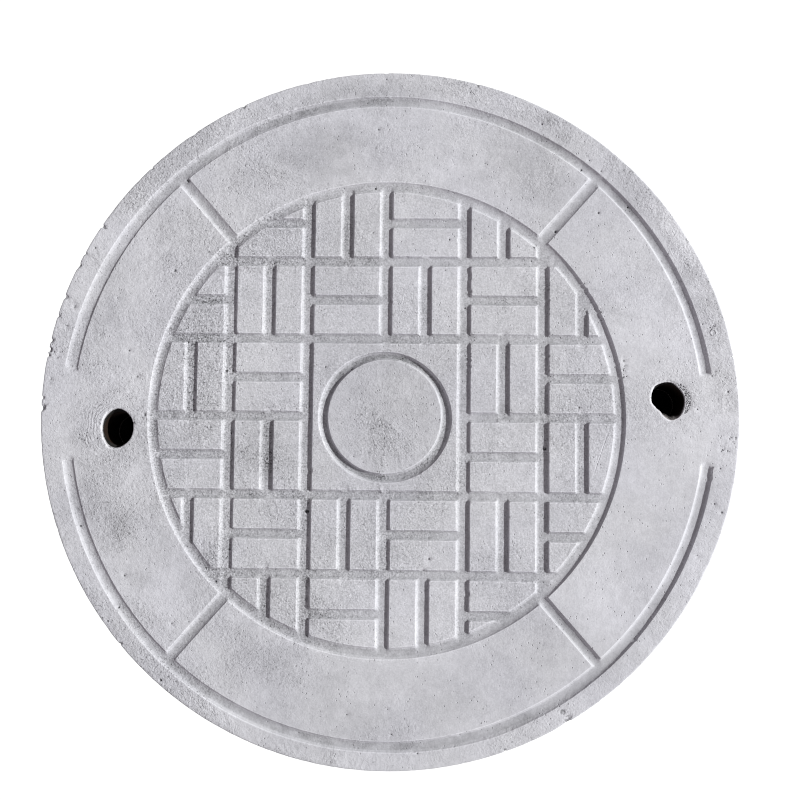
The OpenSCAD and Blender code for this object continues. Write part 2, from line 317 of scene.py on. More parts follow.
for k, (ang, adds, power, deep) in enumerate(RADIALS):
    ca, sa = math.cos(math.radians(ang)), math.sin(math.radians(ang))
    a, b = FRAME_R + 1.5, ARC_R - 1.5
    GROOVES.append(Line(PX + a * ca, PY + a * sa, PX + b * ca, PY + b * sa, 12.2, deep, 320 + k, rounded=True, adds=adds, power=power))
# stretches where the arris is crumbled: x, y, half length, how far
for x, y, reach, amp in ((162.2, 120, 26, 0.75), (85.0, 132, 15, 0.7), (83.6, 53, 16, 0.8), (162.2, 53, 17, 0.8), (209.0, 113.5, 24, 0.5), (236.6, 46, 10, 0.5), (5.6, -140, 14, 0.5), (-72, 60, 10, 0.5), (123, -60, 14, 0.4)):
    at = (np.array([float(x)]), np.array([float(y)]))
    near = min(GROOVES, key=lambda g: abs(float(g.gap(*at)[0])))
    s_at, l_at, _ = near.local(*at)
    near.ragged.append((float(s_at[0]), reach, 1 if l_at[0] >= 0 else -1, amp))

# stretches of the straight grooves cast shallower (or, negative, deeper) than the rest: whether the groove runs along X, x, y, by what part; each runs along its cell's side
for along_x, x, y, part in (
    (0, -159, 115, 0.16), (0, -159, 37, 0.10), (0, -159, -120, 0.20), (0, 76, 115, 0.10), (0, 76, 37, 0.12), (0, 76, -42, 0.20), (0, -2, -120, 0.20), (0, -80, -42, -0.12), (0, 155, -42, -0.14),
    (0, -80, 37, -0.06), (0, -80, 115, -0.06), (0, 155, -120, -0.08), (0, -120, -42, -0.08), (0, -41, 194, -0.08), (0, 116, -120, -0.10), (0, -198, 37, 0.12),
    (1, -120, 154, 0.16), (1, -120, -159, 0.12), (1, 194, -2, 0.22), (1, 116, -2, 0.14), (1, -198, -2, 0.14), (1, 116, 76, 0.18), (1, 194, 76, 0.10), (1, 116, -81, 0.14),
    (1, 194, 37, 0.16), (1, -41, -198, 0.12), (1, 37, 194, 0.10), (1, 194, -81, -0.08),
):
    at = (np.array([float(x)]), np.array([float(y)]))
    near = min((g for g in GROOVES if g.clip and (abs(g.t[0]) > 0.5) == bool(along_x)), key=lambda g: float(np.hypot(*[v[0] for v in g.local(*at)[1:]])))
    near.shallow.append((float(near.local(*at)[0][0]), 34, part))

# ---------------------------------------------------------------- pits and broken spots: x, y, radius, depth
PITS = []
for _ in range(330):
    ang, rad = rng.uniform(0, 2 * math.pi), (RIM - 3) * math.sqrt(rng.random())
    x, y = rad * math.cos(ang), rad * math.sin(ang)
    weight = 0.12 + 0.45 * (rad > 325) + 0.2 * (x < -120)
    if rng.random() < weight:
        r = 0.5 + 0.9 * rng.random() ** 3
        PITS.append((x, y, r, r * rng.uniform(0.7, 1.1)))
# thin scratches in the face: x0, y0, x1, y1, strength (pale is positive)
SCRATCHES = [
    (222.3, -10.5, 203.5, -66, 1.3), (212, -22, 206, -66, 0.5), (-60, 209, -92, 192, 0.7), (-52, 206, -84, 188, 0.5), (-66, 196, -96, 182, 0.5),
    (48, 50, 62, 64, 0.6), (54, 40, 70, 60, 0.4), (150, 120, 176, 150, 0.5), (120, -20, 150, 10, 0.4), (90, -150, 128, -118, 0.5),
    (40, -190, 66, -168, 0.4), (-310, 50, -300, 16, 0.5), (-296, 66, -300, 44, 0.4), (110, 96, 150, 118, 0.4), (160, -90, 190, -70, 0.4),
    (-30, 118, -2, 136, 0.4), (20, -118, 60, -104, 0.4), (255, -60, 290, -20, 0.3), (236, 150, 262, 180, 0.3), (-150, -260, -120, -240, 0.4),
]


def scratch_mark(x, y):
    out = np.zeros_like(x)
    for x0, y0, x1, y1, strength in SCRATCHES:
        n = math.hypot(x1 - x0, y1 - y0)
        tx, ty = (x1 - x0) / n, (y1 - y0) / n
        s, l = (x - x0) * tx + (y - y0) * ty, np.abs((y - y0) * tx - (x - x0) * ty)
        fade = np.clip(np.minimum(s, n - s) / (0.25 * n), 0, 1)
        out = np.maximum(out, strength * np.clip(1 - l / 0.5, 0, 1) * fade)
    return out


# broken spots on groove arrises and at the face's edge
CHIPS = [
    (-78.5, -97.5, 2.6, 1.4), (158.0, -32.5, 2.4, 1.2), (-243.5, -2.8, 1.7, 1.1), (-206.0, 238.0, 1.5, 1.6), (-246.5, -5.5, 1.3, 0.7), (-215.2, -1.0, 1.0, 0.9), (-215.4, 0.6, 0.9, 0.9),
    (-318.9, 106.9, 2.0, 1.0), (-326.3, 86.9, 1.6, 0.9), (-340.3, 33.3, 1.5, 0.7), (175.5, -289.0, 3.0, 0.8), (182.0, -294.0, 2.4, 0.9),
(-182.0, 163.5, 1.4, 0.7), (-252.0, 36.0, 1.4, 0.5), (236.0, 55.5, 1.2, 0.9), (236.8, 51.0, 0.9, 0.8), (196.8, 133.0, 1.2, 0.8), (213.5, 104.0, 1.0, 0.7),
]
# notches in the outer arris: x, y, half width, depth
NOTCHES = [
    (-291.7, 189.3, 2.2, 1.7), (-314.0, 149.0, 1.9, 1.5), (-308.7, 161.3, 1.4, 1.0), (-327.3, 116.7, 2.4, 1.6), (-333.9, 97.3, 1.7, 1.2),
    (-341.8, 72.7, 1.8, 1.8), (-341.4, 62.7, 2.6, 2.4), (-343.9, 57.3, 1.7, 2.0), (-349.5, 14.0, 1.8, 1.6), (-348.9, 3.4, 3.2, 2.0), (181.0, -299.0, 4.0, 1.4), (342.0, 60.0, 1.8, 1.0),
    (-150.0, 315.0, 2.0, 1.2), (90.0, 338.0, 1.8, 0.9), (-243.0, 250.0, 1.6, 1.0), (300.0, 178.0, 2.2, 1.0), (-262.0, -231.0, 2.0, 1.0), (120.0, -328.0, 1.8, 0.9),
]

for nx, ny, half, deep in NOTCHES:
    back = (RIM - 1.7) / math.hypot(nx, ny)
    CHIPS.append((nx * back, ny * back, 1.1 * half, 0.9 * deep))
# close groups of small pits: x, y, radius of the group, how many
for gx, gy, spread, count in ((341, -22, 5, 7), (336, -34, 5, 6), (323.4, 90, 3, 4), (236.5, 47, 3.2, 5), (237.5, 39, 2.2, 3), (-306, -24, 6, 6), (-291, -8, 5, 4), (-334, 60, 6, 5), (328, 40, 8, 5)):
    for _ in range(count):
        a, q = rng.uniform(0, 2 * math.pi), spread * math.sqrt(rng.random())
        r = rng.uniform(0.45, 0.85)
        PITS.append((gx + q * math.cos(a), gy + q * math.sin(a), r, 0.9 * r))


# single air holes
PITS += [(194.5, 249.3, 1.0, 1.2), (168.5, 185.8, 1.4, 1.4), (78.0, 107.9, 0.9, 1.0), (191.8, 8.3, 0.9, 0.9), (147.0, 169.3, 1.1, 0.9), (144.5, 156.2, 0.7, 0.7), (213.9, 247.6, 0.8, 0.8), (241.1, 211.1, 0.9, 0.8)]
# the crumbled skin on the outer side of the right lifting hole
SPONGE = []
for _ in range(1500):
    a, r = math.radians(rng.uniform(-38, 96)), 0.42 + 0.8 * rng.random() ** 2
    d = math.degrees(a)
    far = 21.6 - 2.6 * min(1, max(0, (d - 20) / 50)) - 1.2 * min(1, max(0, (-25 - d) / 13))
    near = 17.2 + 2.0 * min(1, max(0, (d - 50) / 40)) + 1.7 * min(1, max(0, (-18 - d) / 14))
    q = rng.uniform(near, max(far, near + 1.3))
    x, y = HOLES[1][0] + q * math.cos(a), HOLES[1][1] + q * math.sin(a)
    if all((x - o[0]) ** 2 + (y - o[1]) ** 2 > (0.82 * (r + o[2]) + 0.1) ** 2 for o in SPONGE):
        SPONGE.append((x, y, r, 1.3 * r))
PITS += SPONGE


# depth of each pit and chip, and a mask of painted shade inside it
def pit_drop(x, y):
    out, hollow_shade = np.zeros_like(x), np.zeros_like(x)
    for px, py, r, d in PITS:
        q = ((x - px) ** 2 + (y - py) ** 2) / (r * r)
        hit = q < 1.9
        if hit.any():
            v = np.clip(1.15 - q[hit], 0, 1)
            out[hit] = np.maximum(out[hit], d * v**0.7)
            hollow_shade[hit] = np.maximum(hollow_shade[hit], v)
    for px, py, r, d in CHIPS:
        near = (np.abs(x - px) < 1.6 * r) & (np.abs(y - py) < 1.6 * r)
        if near.any():
            u, v = x[near] - px, y[near] - py
            rr = r * (1 + 0.35 * fbm(x[near], y[near], r * 0.8, 77, 2))
            q = np.clip(1 - (u * u + v * v) / (rr * rr), 0, 1)
            out[near] = out[near] + d * q**0.6 * (1 + 0.3 * fbm(x[near], y[near], 1.6, 78, 2))
            hollow_shade[near] = np.maximum(hollow_shade[near], 0.9 * np.sqrt(q) * smooth(-0.5, 0.3, fbm(x[near], y[near], 1.8, 79, 2)))
    return out, hollow_shade


# ---------------------------------------------------------------- the face as a height field
def face(x, y):
    """Height above the face's plane (never positive) and masks, for points in mm."""
    cut, depth = np.zeros_like(x), np.zeros_like(x)
    for g in GROOVES:
        own = g.drop(x, y)
        cut = np.maximum(cut, own)
        depth = np.maximum(depth, own / g.deep(x, y))
    depth = np.clip(depth, 0, 1.2)
    plane = -0.32 + 0.2 * fbm(x, y, 120, 5, 2) + 0.1 * fbm(x, y, 28, 6, 3)
    rough = 0.05 + 0.06 * smooth(-60, -260, x) + 0.05 * smooth(300, 325, np.hypot(x, y))
    plane = plane + rough * fbm(x, y, 7, 9, 3)
    sunk = depth * (0.16 * fbm(x, y, 9, 11, 3) + 0.1 * fbm(x, y, 3, 12, 2))
    pit, hollow_shade = pit_drop(x, y)
    return np.minimum(plane - cut + sunk - pit, -0.02), depth, hollow_shade


# ---------------------------------------------------------------- lifting hole rims
def outline(table, ang):
    a = np.array([t[0] for t in table] + [table[0][0] + 360.0])
    r = np.array([t[1] for t in table] + [table[0][1]])
    d = np.mod(np.degrees(ang), 360)
    t = np.interp(d, a, r)
    w = 0
    for k in (-8, -4, 0, 4, 8):
        w = w + np.interp(np.mod(d + k, 360), a, r)
    return 0.35 * t + 0.65 * w / 5


RIM_TABLES = [
    {"top": [(0, 16.4), (20, 16.9), (45, 17.9), (70, 19.4), (90, 20.4), (112, 19.3), (135, 17.6), (160, 16.3), (180, 15.8), (200, 16.1), (225, 17.9), (250, 21.2), (270, 20.7), (295, 18.5), (320, 17.1), (340, 16.5)],
     "low": [(0, 16.0), (20, 16.5), (45, 17.3), (70, 18.9), (90, 19.8), (112, 18.4), (135, 16.8), (160, 15.6), (180, 15.2), (200, 15.5), (225, 17.2), (250, 19.6), (270, 19.8), (295, 17.9), (320, 16.7), (340, 16.1)]},
    {"top": [(0, 16.2), (20, 16.2), (38, 16.0), (58, 16.6), (75, 18.2), (90, 18.8), (112, 18.8), (133, 19.6), (152, 18.2), (171, 17.3), (188, 16.6), (205, 14.6), (235, 13.3), (262, 17.4), (276, 19.9), (300, 19.4), (322, 17.6), (342, 16.6)],
     "low": [(0, 15.9), (20, 15.9), (38, 15.7), (58, 16.2), (75, 17.8), (90, 18.4), (112, 18.5), (133, 19.2), (152, 17.8), (171, 16.9), (188, 16.3), (205, 14.3), (235, 13.0), (262, 17.1), (276, 19.6), (300, 19.0), (322, 17.2), (342, 16.2)]},
]
N_HOLE = 168
hole_ang = np.arange(N_HOLE) / N_HOLE * 2 * math.pi
rim_ang = np.arange(900) / 900 * 2 * math.pi
for nx, ny, half, _ in NOTCHES:
    mid = math.atan2(ny, nx) % (2 * math.pi)
    reach = (half + 0.8) / RIM
    rim_ang = np.concatenate([rim_ang[np.abs(rim_ang - mid) > reach], np.linspace(mid - reach, mid + reach, max(5, int(2 * reach * RIM / 0.75)))])
rim_ang = np.unique(np.round(np.mod(rim_ang, 2 * math.pi), 6))
N_RIM = len(rim_ang)
EDGE = 1.5  # the face's flat ends this far in from the rim


# ---------------------------------------------------------------- points of the top face
class Pool:
    def __init__(self, cell):
        self.cell, self.grid, self.xy = cell, {}, []

    def add(self, x, y, gap):
        c = self.cell
        i, j = int(x // c), int(y // c)
        for a in (i - 1, i, i + 1):
            for b in (j - 1, j, j + 1):
                for k in self.grid.get((a, b), ()):
                    p = self.xy[k]
                    if (p[0] - x) ** 2 + (p[1] - y) ** 2 < gap * gap:
                        return -1
        self.xy.append((x, y))
        self.grid.setdefault((i, j), []).append(len(self.xy) - 1)
        return len(self.xy) - 1


def hole_loops(which, grow=0.0):
    hx, hy, _, _ = HOLES[which]
    r = outline(RIM_TABLES[which]["top"], hole_ang) + grow + 0.25 * fbm(np.cos(hole_ang) * 20, np.sin(hole_ang) * 20 + 60 * which, 5, 51, 2)
    return hx + r * np.cos(hole_ang), hy + r * np.sin(hole_ang)


def top_points():
    pool, edges = Pool(1.0), []
    inner = RIM - EDGE
    for a in rim_ang:
        pool.add(inner * math.cos(a), inner * math.sin(a), 0.0)
    edges += [(k, (k + 1) % N_RIM) for k in range(N_RIM)]
    for which in (0, 1):
        x, y = hole_loops(which, 0.9)
        at = len(pool.xy)
        for k in range(N_HOLE):
            pool.add(x[k], y[k], 0.0)
        edges += [(at + k, at + (k + 1) % N_HOLE) for k in range(N_HOLE)]

    def clear(x, y, margin):
        ok = np.hypot(x, y) < inner - margin
        for which, (hx, hy, _, _) in enumerate(HOLES):
            ang = np.arctan2(y - hy, x - hx)
            ok &= np.hypot(x - hx, y - hy) > outline(RIM_TABLES[which]["top"], ang) + 0.9 + margin + 0.3
        return ok

    drops = {}
    for number, g in enumerate(GROOVES):
        for x, y, keep, step in g.rows():
            own = g.drop(x, y)
            other = np.zeros_like(own)
            for h in GROOVES:
                if h is not g:
                    other = np.maximum(other, h.drop(x, y))
            good = (other <= own + 0.03) & clear(x, y, 0.8)
            before, first = -1, -1
            for k in range(len(x)):
                at = pool.add(x[k], y[k], 0.3 if keep else 0.42) if good[k] else -1
                if keep and at >= 0 and before >= 0:
                    edges.append((before, at))
                before = at
                if k == 0:
                    first = at
            if keep and g.closed and before >= 0 and first >= 0:
                edges.append((before, first))
    for px, py, r, d in PITS:
        for ring, n in ((0, 1), (0.6, 7), (1.02, 10), (1.4, 12)):
            for k in range(n):
                a = 2 * math.pi * (k + 0.5 * (ring > 0.8)) / n
                x, y = px + ring * r * math.cos(a), py + ring * r * math.sin(a)
                if clear(np.array([x]), np.array([y]), 0.1 if px > 290 else 0.8)[0]:
                    pool.add(x, y, 0.22 * r + 0.06)
    for px, py, r, d in CHIPS:
        n = int(2.6 * r / 0.8)
        for i in range(-n, n + 1):
            for j in range(-n, n + 1):
                x, y = px + (i + 0.5 * (j % 2)) * 0.8, py + j * 0.7
                if math.hypot(x - px, y - py) < 1.35 * r and clear(np.array([x]), np.array([y]), 0.8)[0]:
                    pool.add(x, y, 0.5)
    for x0, y0, x1, y1, _ in SCRATCHES:
        n = math.hypot(x1 - x0, y1 - y0)
        tx, ty, before = (x1 - x0) / n, (y1 - y0) / n, -1
        for side in (0, -0.55, 0.55):
            for k in range(int(n / 1.8)):
                a = (k + 0.5) * 1.8
                at = pool.add(x0 + a * tx - side * ty, y0 + a * ty + side * tx, 0.3)
                if side == 0 and at >= 0 and before >= 0:
                    edges.append((before, at))
                before = at if side == 0 else -1
    # rings round the holes and inside the rim, then a loose hexagonal fill
    for which in (0, 1):
        for grow, n in ((2.2, 90), (3.6, 72), (5.6, 54)):
            hx, hy, _, _ = HOLES[which]
            for k in range(n):
                a = 2 * math.pi * k / n
                r = float(outline(RIM_TABLES[which]["top"], np.array([a]))[0]) + grow
                pool.add(hx + r * math.cos(a), hy + r * math.sin(a), 0.8)
    for back, n in ((1.6, 880), (3.8, 560)):
        for k in range(n):
            a = 2 * math.pi * (k + 0.5) / n
            pool.add((inner - back) * math.cos(a), (inner - back) * math.sin(a), 0.9)
    step = 5.1
    near = {}
    for x, y in pool.xy:
        near.setdefault((int(x // 2.4), int(y // 2.4)), []).append((x, y))
    jig = np.random.default_rng(SEED + 1)
    rows = int(2 * inner / (step * 0.866)) + 2
    for j in range(rows):
        y0 = -inner + j * step * 0.866
        xs = np.arange(-inner + (j % 2) * step / 2, inner, step)
        xs = xs + jig.uniform(-0.7, 0.7, len(xs))
        ys = y0 + jig.uniform(-0.7, 0.7, len(xs))
        good = clear(xs, ys, 2.2)
        for x, y in zip(xs[good], ys[good]):
            i, k = int(x // 2.4), int(y // 2.4)
            if not any((p[0] - x) ** 2 + (p[1] - y) ** 2 < 5.3 for a in (i - 1, i, i + 1) for b in (k - 1, k, k + 1) for p in near.get((a, b), ())):
                pool.xy.append((x, y))
    return pool.xy, edges


verts, faces, masks = [], [], []  # verts in mm; masks hold (groove depth, painted shade in pits and chips, zone) per vertex; zone 0 face, 1 side, 2 underside, 3 hole wall


def add_verts(x, y, z, depth=0.0, hollow_shade=0.0, zone=0.0):
    at = sum(len(v) for v in verts)
    n = len(x)
    verts.append(np.column_stack([x, y, z]))
    masks.append(np.column_stack([np.broadcast_to(depth, n), np.broadcast_to(hollow_shade, n), np.broadcast_to(zone, n)]))
    return at


def bridge(a, b, up=True):
    """Quads between two equal loops of vertex indices."""
    a, b = np.asarray(a), np.asarray(b)
    a2, b2 = np.roll(a, -1), np.roll(b, -1)
    q = np.column_stack([a, a2, b2, b] if up else [a, b, b2, a2])
    faces.extend(q.tolist())


def sheet(points, edges, loops_out, up=True):
    """Triangulates points inside the outer loop, which is the first N_RIM points, and outside the hole loops. Returns xy, triangles and where each input point went."""
    out, _, tris, orig, _, _ = delaunay_2d_cdt([Vector(p) for p in points], edges, [], 0, 1e-5, True)
    xy = np.array([(p[0], p[1]) for p in out])
    where = {}
    for k, src in enumerate(orig):
        for s in src:
            where[s] = k
    tris = np.array([t for t in tris if len(t) == 3])
    mid = xy[tris].mean(1)
    keep = np.ones(len(tris), bool)
    for loop in loops_out:
        c = loop.mean(0)
        ang = np.arctan2(mid[:, 1] - c[1], mid[:, 0] - c[0])
        la = np.arctan2(loop[:, 1] - c[1], loop[:, 0] - c[0])
        order = np.argsort(la)
        lr = np.hypot(loop[:, 0] - c[0], loop[:, 1] - c[1])
        rr = np.interp(ang, la[order], lr[order], period=2 * math.pi)
        keep &= np.hypot(mid[:, 0] - c[0], mid[:, 1] - c[1]) > rr
    # between three points of the outer loop a triangle lies inside only if it turns the way the loop does
    place = np.full(len(xy), -1)
    for k in range(N_RIM):
        place[where[k]] = k
    on_loop = (place[tris] >= 0).all(1)
    turned = np.take_along_axis(tris, np.argsort(place[tris], axis=1), 1)
    f1, f2 = xy[turned[:, 1]] - xy[turned[:, 0]], xy[turned[:, 2]] - xy[turned[:, 0]]
    keep &= ~(on_loop & (f1[:, 0] * f2[:, 1] - f1[:, 1] * f2[:, 0] < 0))
    tris = tris[keep]
    e1, e2 = xy[tris[:, 1]] - xy[tris[:, 0]], xy[tris[:, 2]] - xy[tris[:, 0]]
    cross = e1[:, 0] * e2[:, 1] - e1[:, 1] * e2[:, 0]
    tris = tris[np.abs(cross) > 1e-9]
    cross = cross[np.abs(cross) > 1e-9]
    flip = (cross < 0) if up else (cross > 0)
    tris[flip] = tris[flip][:, ::-1]
    return xy, tris, where


# ---------------------------------------------------------------- build the slab
pts, edges = top_points()
loop_xy = [np.column_stack(hole_loops(w, 0.9)) for w in (0, 1)]
xy, tris, where = sheet(pts, edges, loop_xy)
z, depth, hollow_shade = face(xy[:, 0], xy[:, 1])
base = add_verts(xy[:, 0], xy[:, 1], TOP + z, depth, hollow_shade, 0)
faces.extend((tris + base).tolist())
rim_loop = np.array([where[k] for k in range(N_RIM)]) + base
hole_loop = [np.array([where[N_RIM + w * N_HOLE + k] for k in range(N_HOLE)]) + base for w in (0, 1)]

# side wall: rings from the face's edge, round the top arris, down the drafted side
cx, sx = np.cos(rim_ang), np.sin(rim_ang)
arc_x, arc_y = RIM * cx, RIM * sx
edge_rough = np.abs(fbm(rim_ang * RIM, 0 * rim_ang, 9, 61, 3)) * 0.5 + 0.9 * smooth(0.35, 0.8, fbm(rim_ang * RIM, 0 * rim_ang + 9, 15, 62, 3))
wrap = smooth(0, 0.02, rim_ang) * smooth(2 * math.pi, 2 * math.pi - 0.02, rim_ang)
edge_rough *= wrap
last = rim_loop
rim_z = z[rim_loop - base]
notch = np.zeros(N_RIM)
for nx, ny, half, deep in NOTCHES:
    gap = np.abs((rim_ang - math.atan2(ny, nx) + math.pi) % (2 * math.pi) - math.pi) * RIM
    notch = np.maximum(notch, deep * np.maximum(0, 1 - (gap / half) ** 2) ** 0.7 * (1 + 0.4 * fbm(rim_ang * RIM, 0 * rim_ang, 1.4, 66, 2)))
edge_rough = edge_rough + notch
# painted shade inside the notches of the outer arris
notch_shade = np.clip(notch / 0.9, 0, 1)
profile = [(1.4 * math.sin(math.radians(a)), 1.4 * (1 - math.cos(math.radians(a)))) for a in (16, 34, 52, 70, 90)]
for k, (out, down) in enumerate(profile):
    t = (k + 1) / len(profile)
    r = RIM - EDGE + out - edge_rough * 0.8 * t
    h = TOP + rim_z * (1 - t) + (0.95 * np.minimum(rim_z + 0.4, 0) - 0.32) * t - down - edge_rough * 0.5 * math.sin(math.pi * t)
    at = add_verts(r * cx, r * sx, h, 0, notch_shade, 1)
    rim_low = h
    now = np.arange(at, at + N_RIM)
    bridge(last, now, False)
    last = now
heights = np.linspace(TOP - 3.4, 2.4, 11)
for h in heights:
    s = rim_ang * RIM
    dent = 0.12 + 0.14 * fbm(s, 0 * s + h, 38, 63, 3) * wrap + 0.1 * np.abs(fbm(s, 0 * s + h, 8, 64, 2)) * wrap
    r = RIM - DRAFT * (TOP - h) - np.maximum(dent, 0) - edge_rough * 0.8 * math.exp(-(TOP - h) / 4)
    at = add_verts(r * cx, r * sx, np.minimum(h, rim_low - 0.4) if h == heights[0] else np.full(N_RIM, h), 0, notch_shade * math.exp(-(TOP - h) / 3), 1)
    now = np.arange(at, at + N_RIM)
    bridge(last, now, False)
    last = now
low_r = RIM - DRAFT * TOP
for inset, h in ((0.5, 1.1), (1.2, 0.35), (2.2, 0.03)):
    r = low_r - inset - 0.25 + 0.2 * fbm(rim_ang * RIM, 0 * rim_ang + 5, 20, 65, 3) * wrap
    at = add_verts(r * cx, r * sx, np.full(N_RIM, h), 0, 0, 1 if inset < 2 else 2)
    now = np.arange(at, at + N_RIM)
    bridge(last, now, False)
    last = now
low_loop = last
low_xy = np.vstack(verts)[low_loop][:, :2]

# hole walls: rim, lip, ledge over the sleeve, then the sleeve's seat down to the underside
seat_loops = []
for which, (hx, hy, tube_r, tube_top) in enumerate(HOLES):
    top_r = outline(RIM_TABLES[which]["top"], hole_ang)
    low_r2 = outline(RIM_TABLES[which]["low"], hole_ang)
    ca, sa = np.cos(hole_ang), np.sin(hole_ang)
    last = hole_loop[which]
    start_z = z[last - base]
    seat = tube_r + 0.06
    lip_end = tube_r - 2.03
    steps = [(0.0, 0.5, 0.15, 0.15), (0.0, 0.12, 0.4, 0.3), (0.2, 0.0, 0.7, 0.38), (0.4, 0.0, 0.95, 0.44), (0.6, 0.0, 1.2, 0.5), (0.8, 0.0, 1.6, 0.6), (0.96, 0.05, 2.1, 0.9), (1.0, 0.0, 3.8, 3.8), (1.0, 0.0, 5.4, 5.4), (1.0, 0.0, 7.4, 7.4)]
    on_shelf = smooth(0.9, 2.0, top_r - low_r2)
    for k, (mix, out, down, flat_down) in enumerate(steps):
        r = top_r * (1 - mix) + low_r2 * mix + out
        r = r - (4.2 * smooth(0.6, 7.4, down) * smooth(42, 12, np.abs(np.degrees(hole_ang) - 276)) if which else 0)
        back = smooth(3.8, 9.5, down)
        r = r * (1 - back) + np.maximum(r, lip_end) * back if not which else r
        r = r + (0.3 * fbm(ca * 20 + 7 * down, sa * 20 + 60 * which + 5 * down, 3.2, 52, 3) + 0.22 * fbm(ca * 20, sa * 20 + 60 * which + 9 * down, 1.3, 57, 2)) * (1.0 if out < 0.5 else 0.5)
        t = k / len(steps)
        shelf = on_shelf * (0 < k < 7)
        sponge = fbm(r * ca, r * sa + 60 * which, 1.7, 59, 2)
        # painted shade in the pits of the crumbled shelf
        spots = smooth(0.0, 0.34, sponge) * shelf
        drop = down * (1 - on_shelf) + flat_down * on_shelf
        at = add_verts(hx + r * ca, hy + r * sa, TOP + start_z * (1 - t) - drop - 0.15 * t - 0.55 * smooth(0.0, 0.4, sponge) * shelf, 0, spots, 3)
        now = np.arange(at, at + N_HOLE)
        bridge(last, now, True)
        last = now
    for r, h in ((lip_end + 0.5, TOP - 9.8), (lip_end, tube_top + 0.12), (seat, tube_top + 0.1), (seat, tube_top * 0.5), (seat, 0.5), (seat + 0.25, 0.03)):
        wob = 0.2 * fbm(ca * 20, sa * 20 + 60 * which + h, 3, 53, 2) if h > tube_top + 0.5 else 0
        at = add_verts(hx + (r + wob) * ca, hy + (r + wob) * sa, np.full(N_HOLE, h), 0, 0, 3)
        now = np.arange(at, at + N_HOLE)
        bridge(last, now, True)
        last = now
    seat_loops.append(last)

# underside
flat = np.vstack(verts)
pts2 = [tuple(p) for p in low_xy]
edges2 = [(k, (k + 1) % N_RIM) for k in range(N_RIM)]
for loop in seat_loops:
    at = len(pts2)
    pts2 += [tuple(p) for p in flat[loop][:, :2]]
    edges2 += [(at + k, at + (k + 1) % N_HOLE) for k in range(N_HOLE)]
low_inner = np.hypot(low_xy[:, 0], low_xy[:, 1]).min()
jig = np.random.default_rng(SEED + 2)
for back, n in ((3.5, 560), (8.5, 300)):
    for k in range(n):
        a = 2 * math.pi * k / n
        pts2.append(((low_inner - back) * math.cos(a), (low_inner - back) * math.sin(a)))
for j in range(int(2 * low_inner / 8.2) + 1):
    y0 = -low_inner + j * 8.2
    for x0 in np.arange(-low_inner + (j % 2) * 4.75, low_inner, 9.5):
        x, y = x0 + jig.uniform(-1.2, 1.2), y0 + jig.uniform(-1.2, 1.2)
        if math.hypot(x, y) < low_inner - 12 and all(math.hypot(x - h[0], y - h[1]) > h[2] + 3.5 for h in HOLES):
            pts2.append((x, y))
xy2, tris2, where2 = sheet(pts2, edges2, [flat[l][:, :2] for l in seat_loops], up=False)
fixed = {}
for k in range(N_RIM):
    fixed[where2[k]] = low_loop[k]
for w, loop in enumerate(seat_loops):
    for k in range(N_HOLE):
        fixed[where2[N_RIM + w * N_HOLE + k]] = loop[k]
rest = [k for k in range(len(xy2)) if k not in fixed]
ux, uy = xy2[rest, 0], xy2[rest, 1]
lift = 0.45 + 0.28 * fbm(ux, uy, 60, 71, 3) + 0.16 * fbm(ux * 0.4, uy, 16, 72, 3)
lift = np.maximum(lift * smooth(low_inner - 1, low_inner - 14, np.hypot(ux, uy)), 0.02)
at = add_verts(ux, uy, lift, 0, 0, 2)
index = np.zeros(len(xy2), int)
for k, v in fixed.items():
    index[k] = v
index[rest] = np.arange(at, at + len(rest))
faces.extend(index[tris2].tolist())

co = np.vstack(verts)
mask = np.vstack(masks)
mesh = bpy.data.meshes.new("concrete_slab_cast")
mesh.from_pydata((co / MM).tolist(), [], faces)
mesh.validate()
mesh.update()
slab = bpy.data.objects.new("concrete_slab_cast", mesh)
bpy.context.scene.collection.objects.link(slab)
mesh.polygons.foreach_set("use_smooth", np.ones(len(mesh.polygons), bool))
print("SLAB verts", len(mesh.vertices), "tris", sum(len(p.vertices) - 2 for p in mesh.polygons))

# ---------------------------------------------------------------- masks for the material
X, Y = co[:, 0], co[:, 1]
rad = np.hypot(X, Y)


def store(name, values):
    a = mesh.attributes.new(name, "FLOAT", "POINT")
    a.data.foreach_set("value", np.asarray(values, np.float32))


store("groove", mask[:, 0])
# painted shade in pits, chips, notches and the crumbled shelf
store("pit", mask[:, 1])
store("zone_side", (mask[:, 2] == 1).astype(float))
store("zone_under", (mask[:, 2] == 2).astype(float))
# painted shade down the lifting-hole walls, growing with depth below the face; on the right hole's lower side it
# deepens in two gentler steps
gentle_shade_side = smooth(0.55, 0.95, -(Y - HOLES[1][1]) / np.maximum(np.hypot(X - HOLES[1][0], Y - HOLES[1][1]), 1)) * (X > 200)
below = TOP - co[:, 2]
store("zone_hole_shade", np.where(mask[:, 2] == 3, (1 - gentle_shade_side) * smooth(0.9, 4.3, below) + gentle_shade_side * (0.55 * smooth(0.3, 1.1, below) + 0.43 * smooth(1.4, 6.2, below)), 0))
edge = np.full(len(co), 12.0)
on_face = mask[:, 2] == 0
for g in GROOVES:
    edge[on_face] = np.minimum(edge[on_face], g.gap(X[on_face], Y[on_face]))
from_hole = np.full(len(co), 1e3)
for which, (hx, hy, _, _) in enumerate(HOLES):
    d = np.hypot(X - hx, Y - hy)
    from_hole = np.minimum(from_hole, d)
    rim_gap = d - outline(RIM_TABLES[which]["top"], np.arctan2(Y - hy, X - hx)) - 0.5
    edge = np.where((d < 40) & (mask[:, 2] != 2), np.minimum(edge, np.maximum(rim_gap, -3)), edge)
store("edge", np.clip(edge, -6, 12))
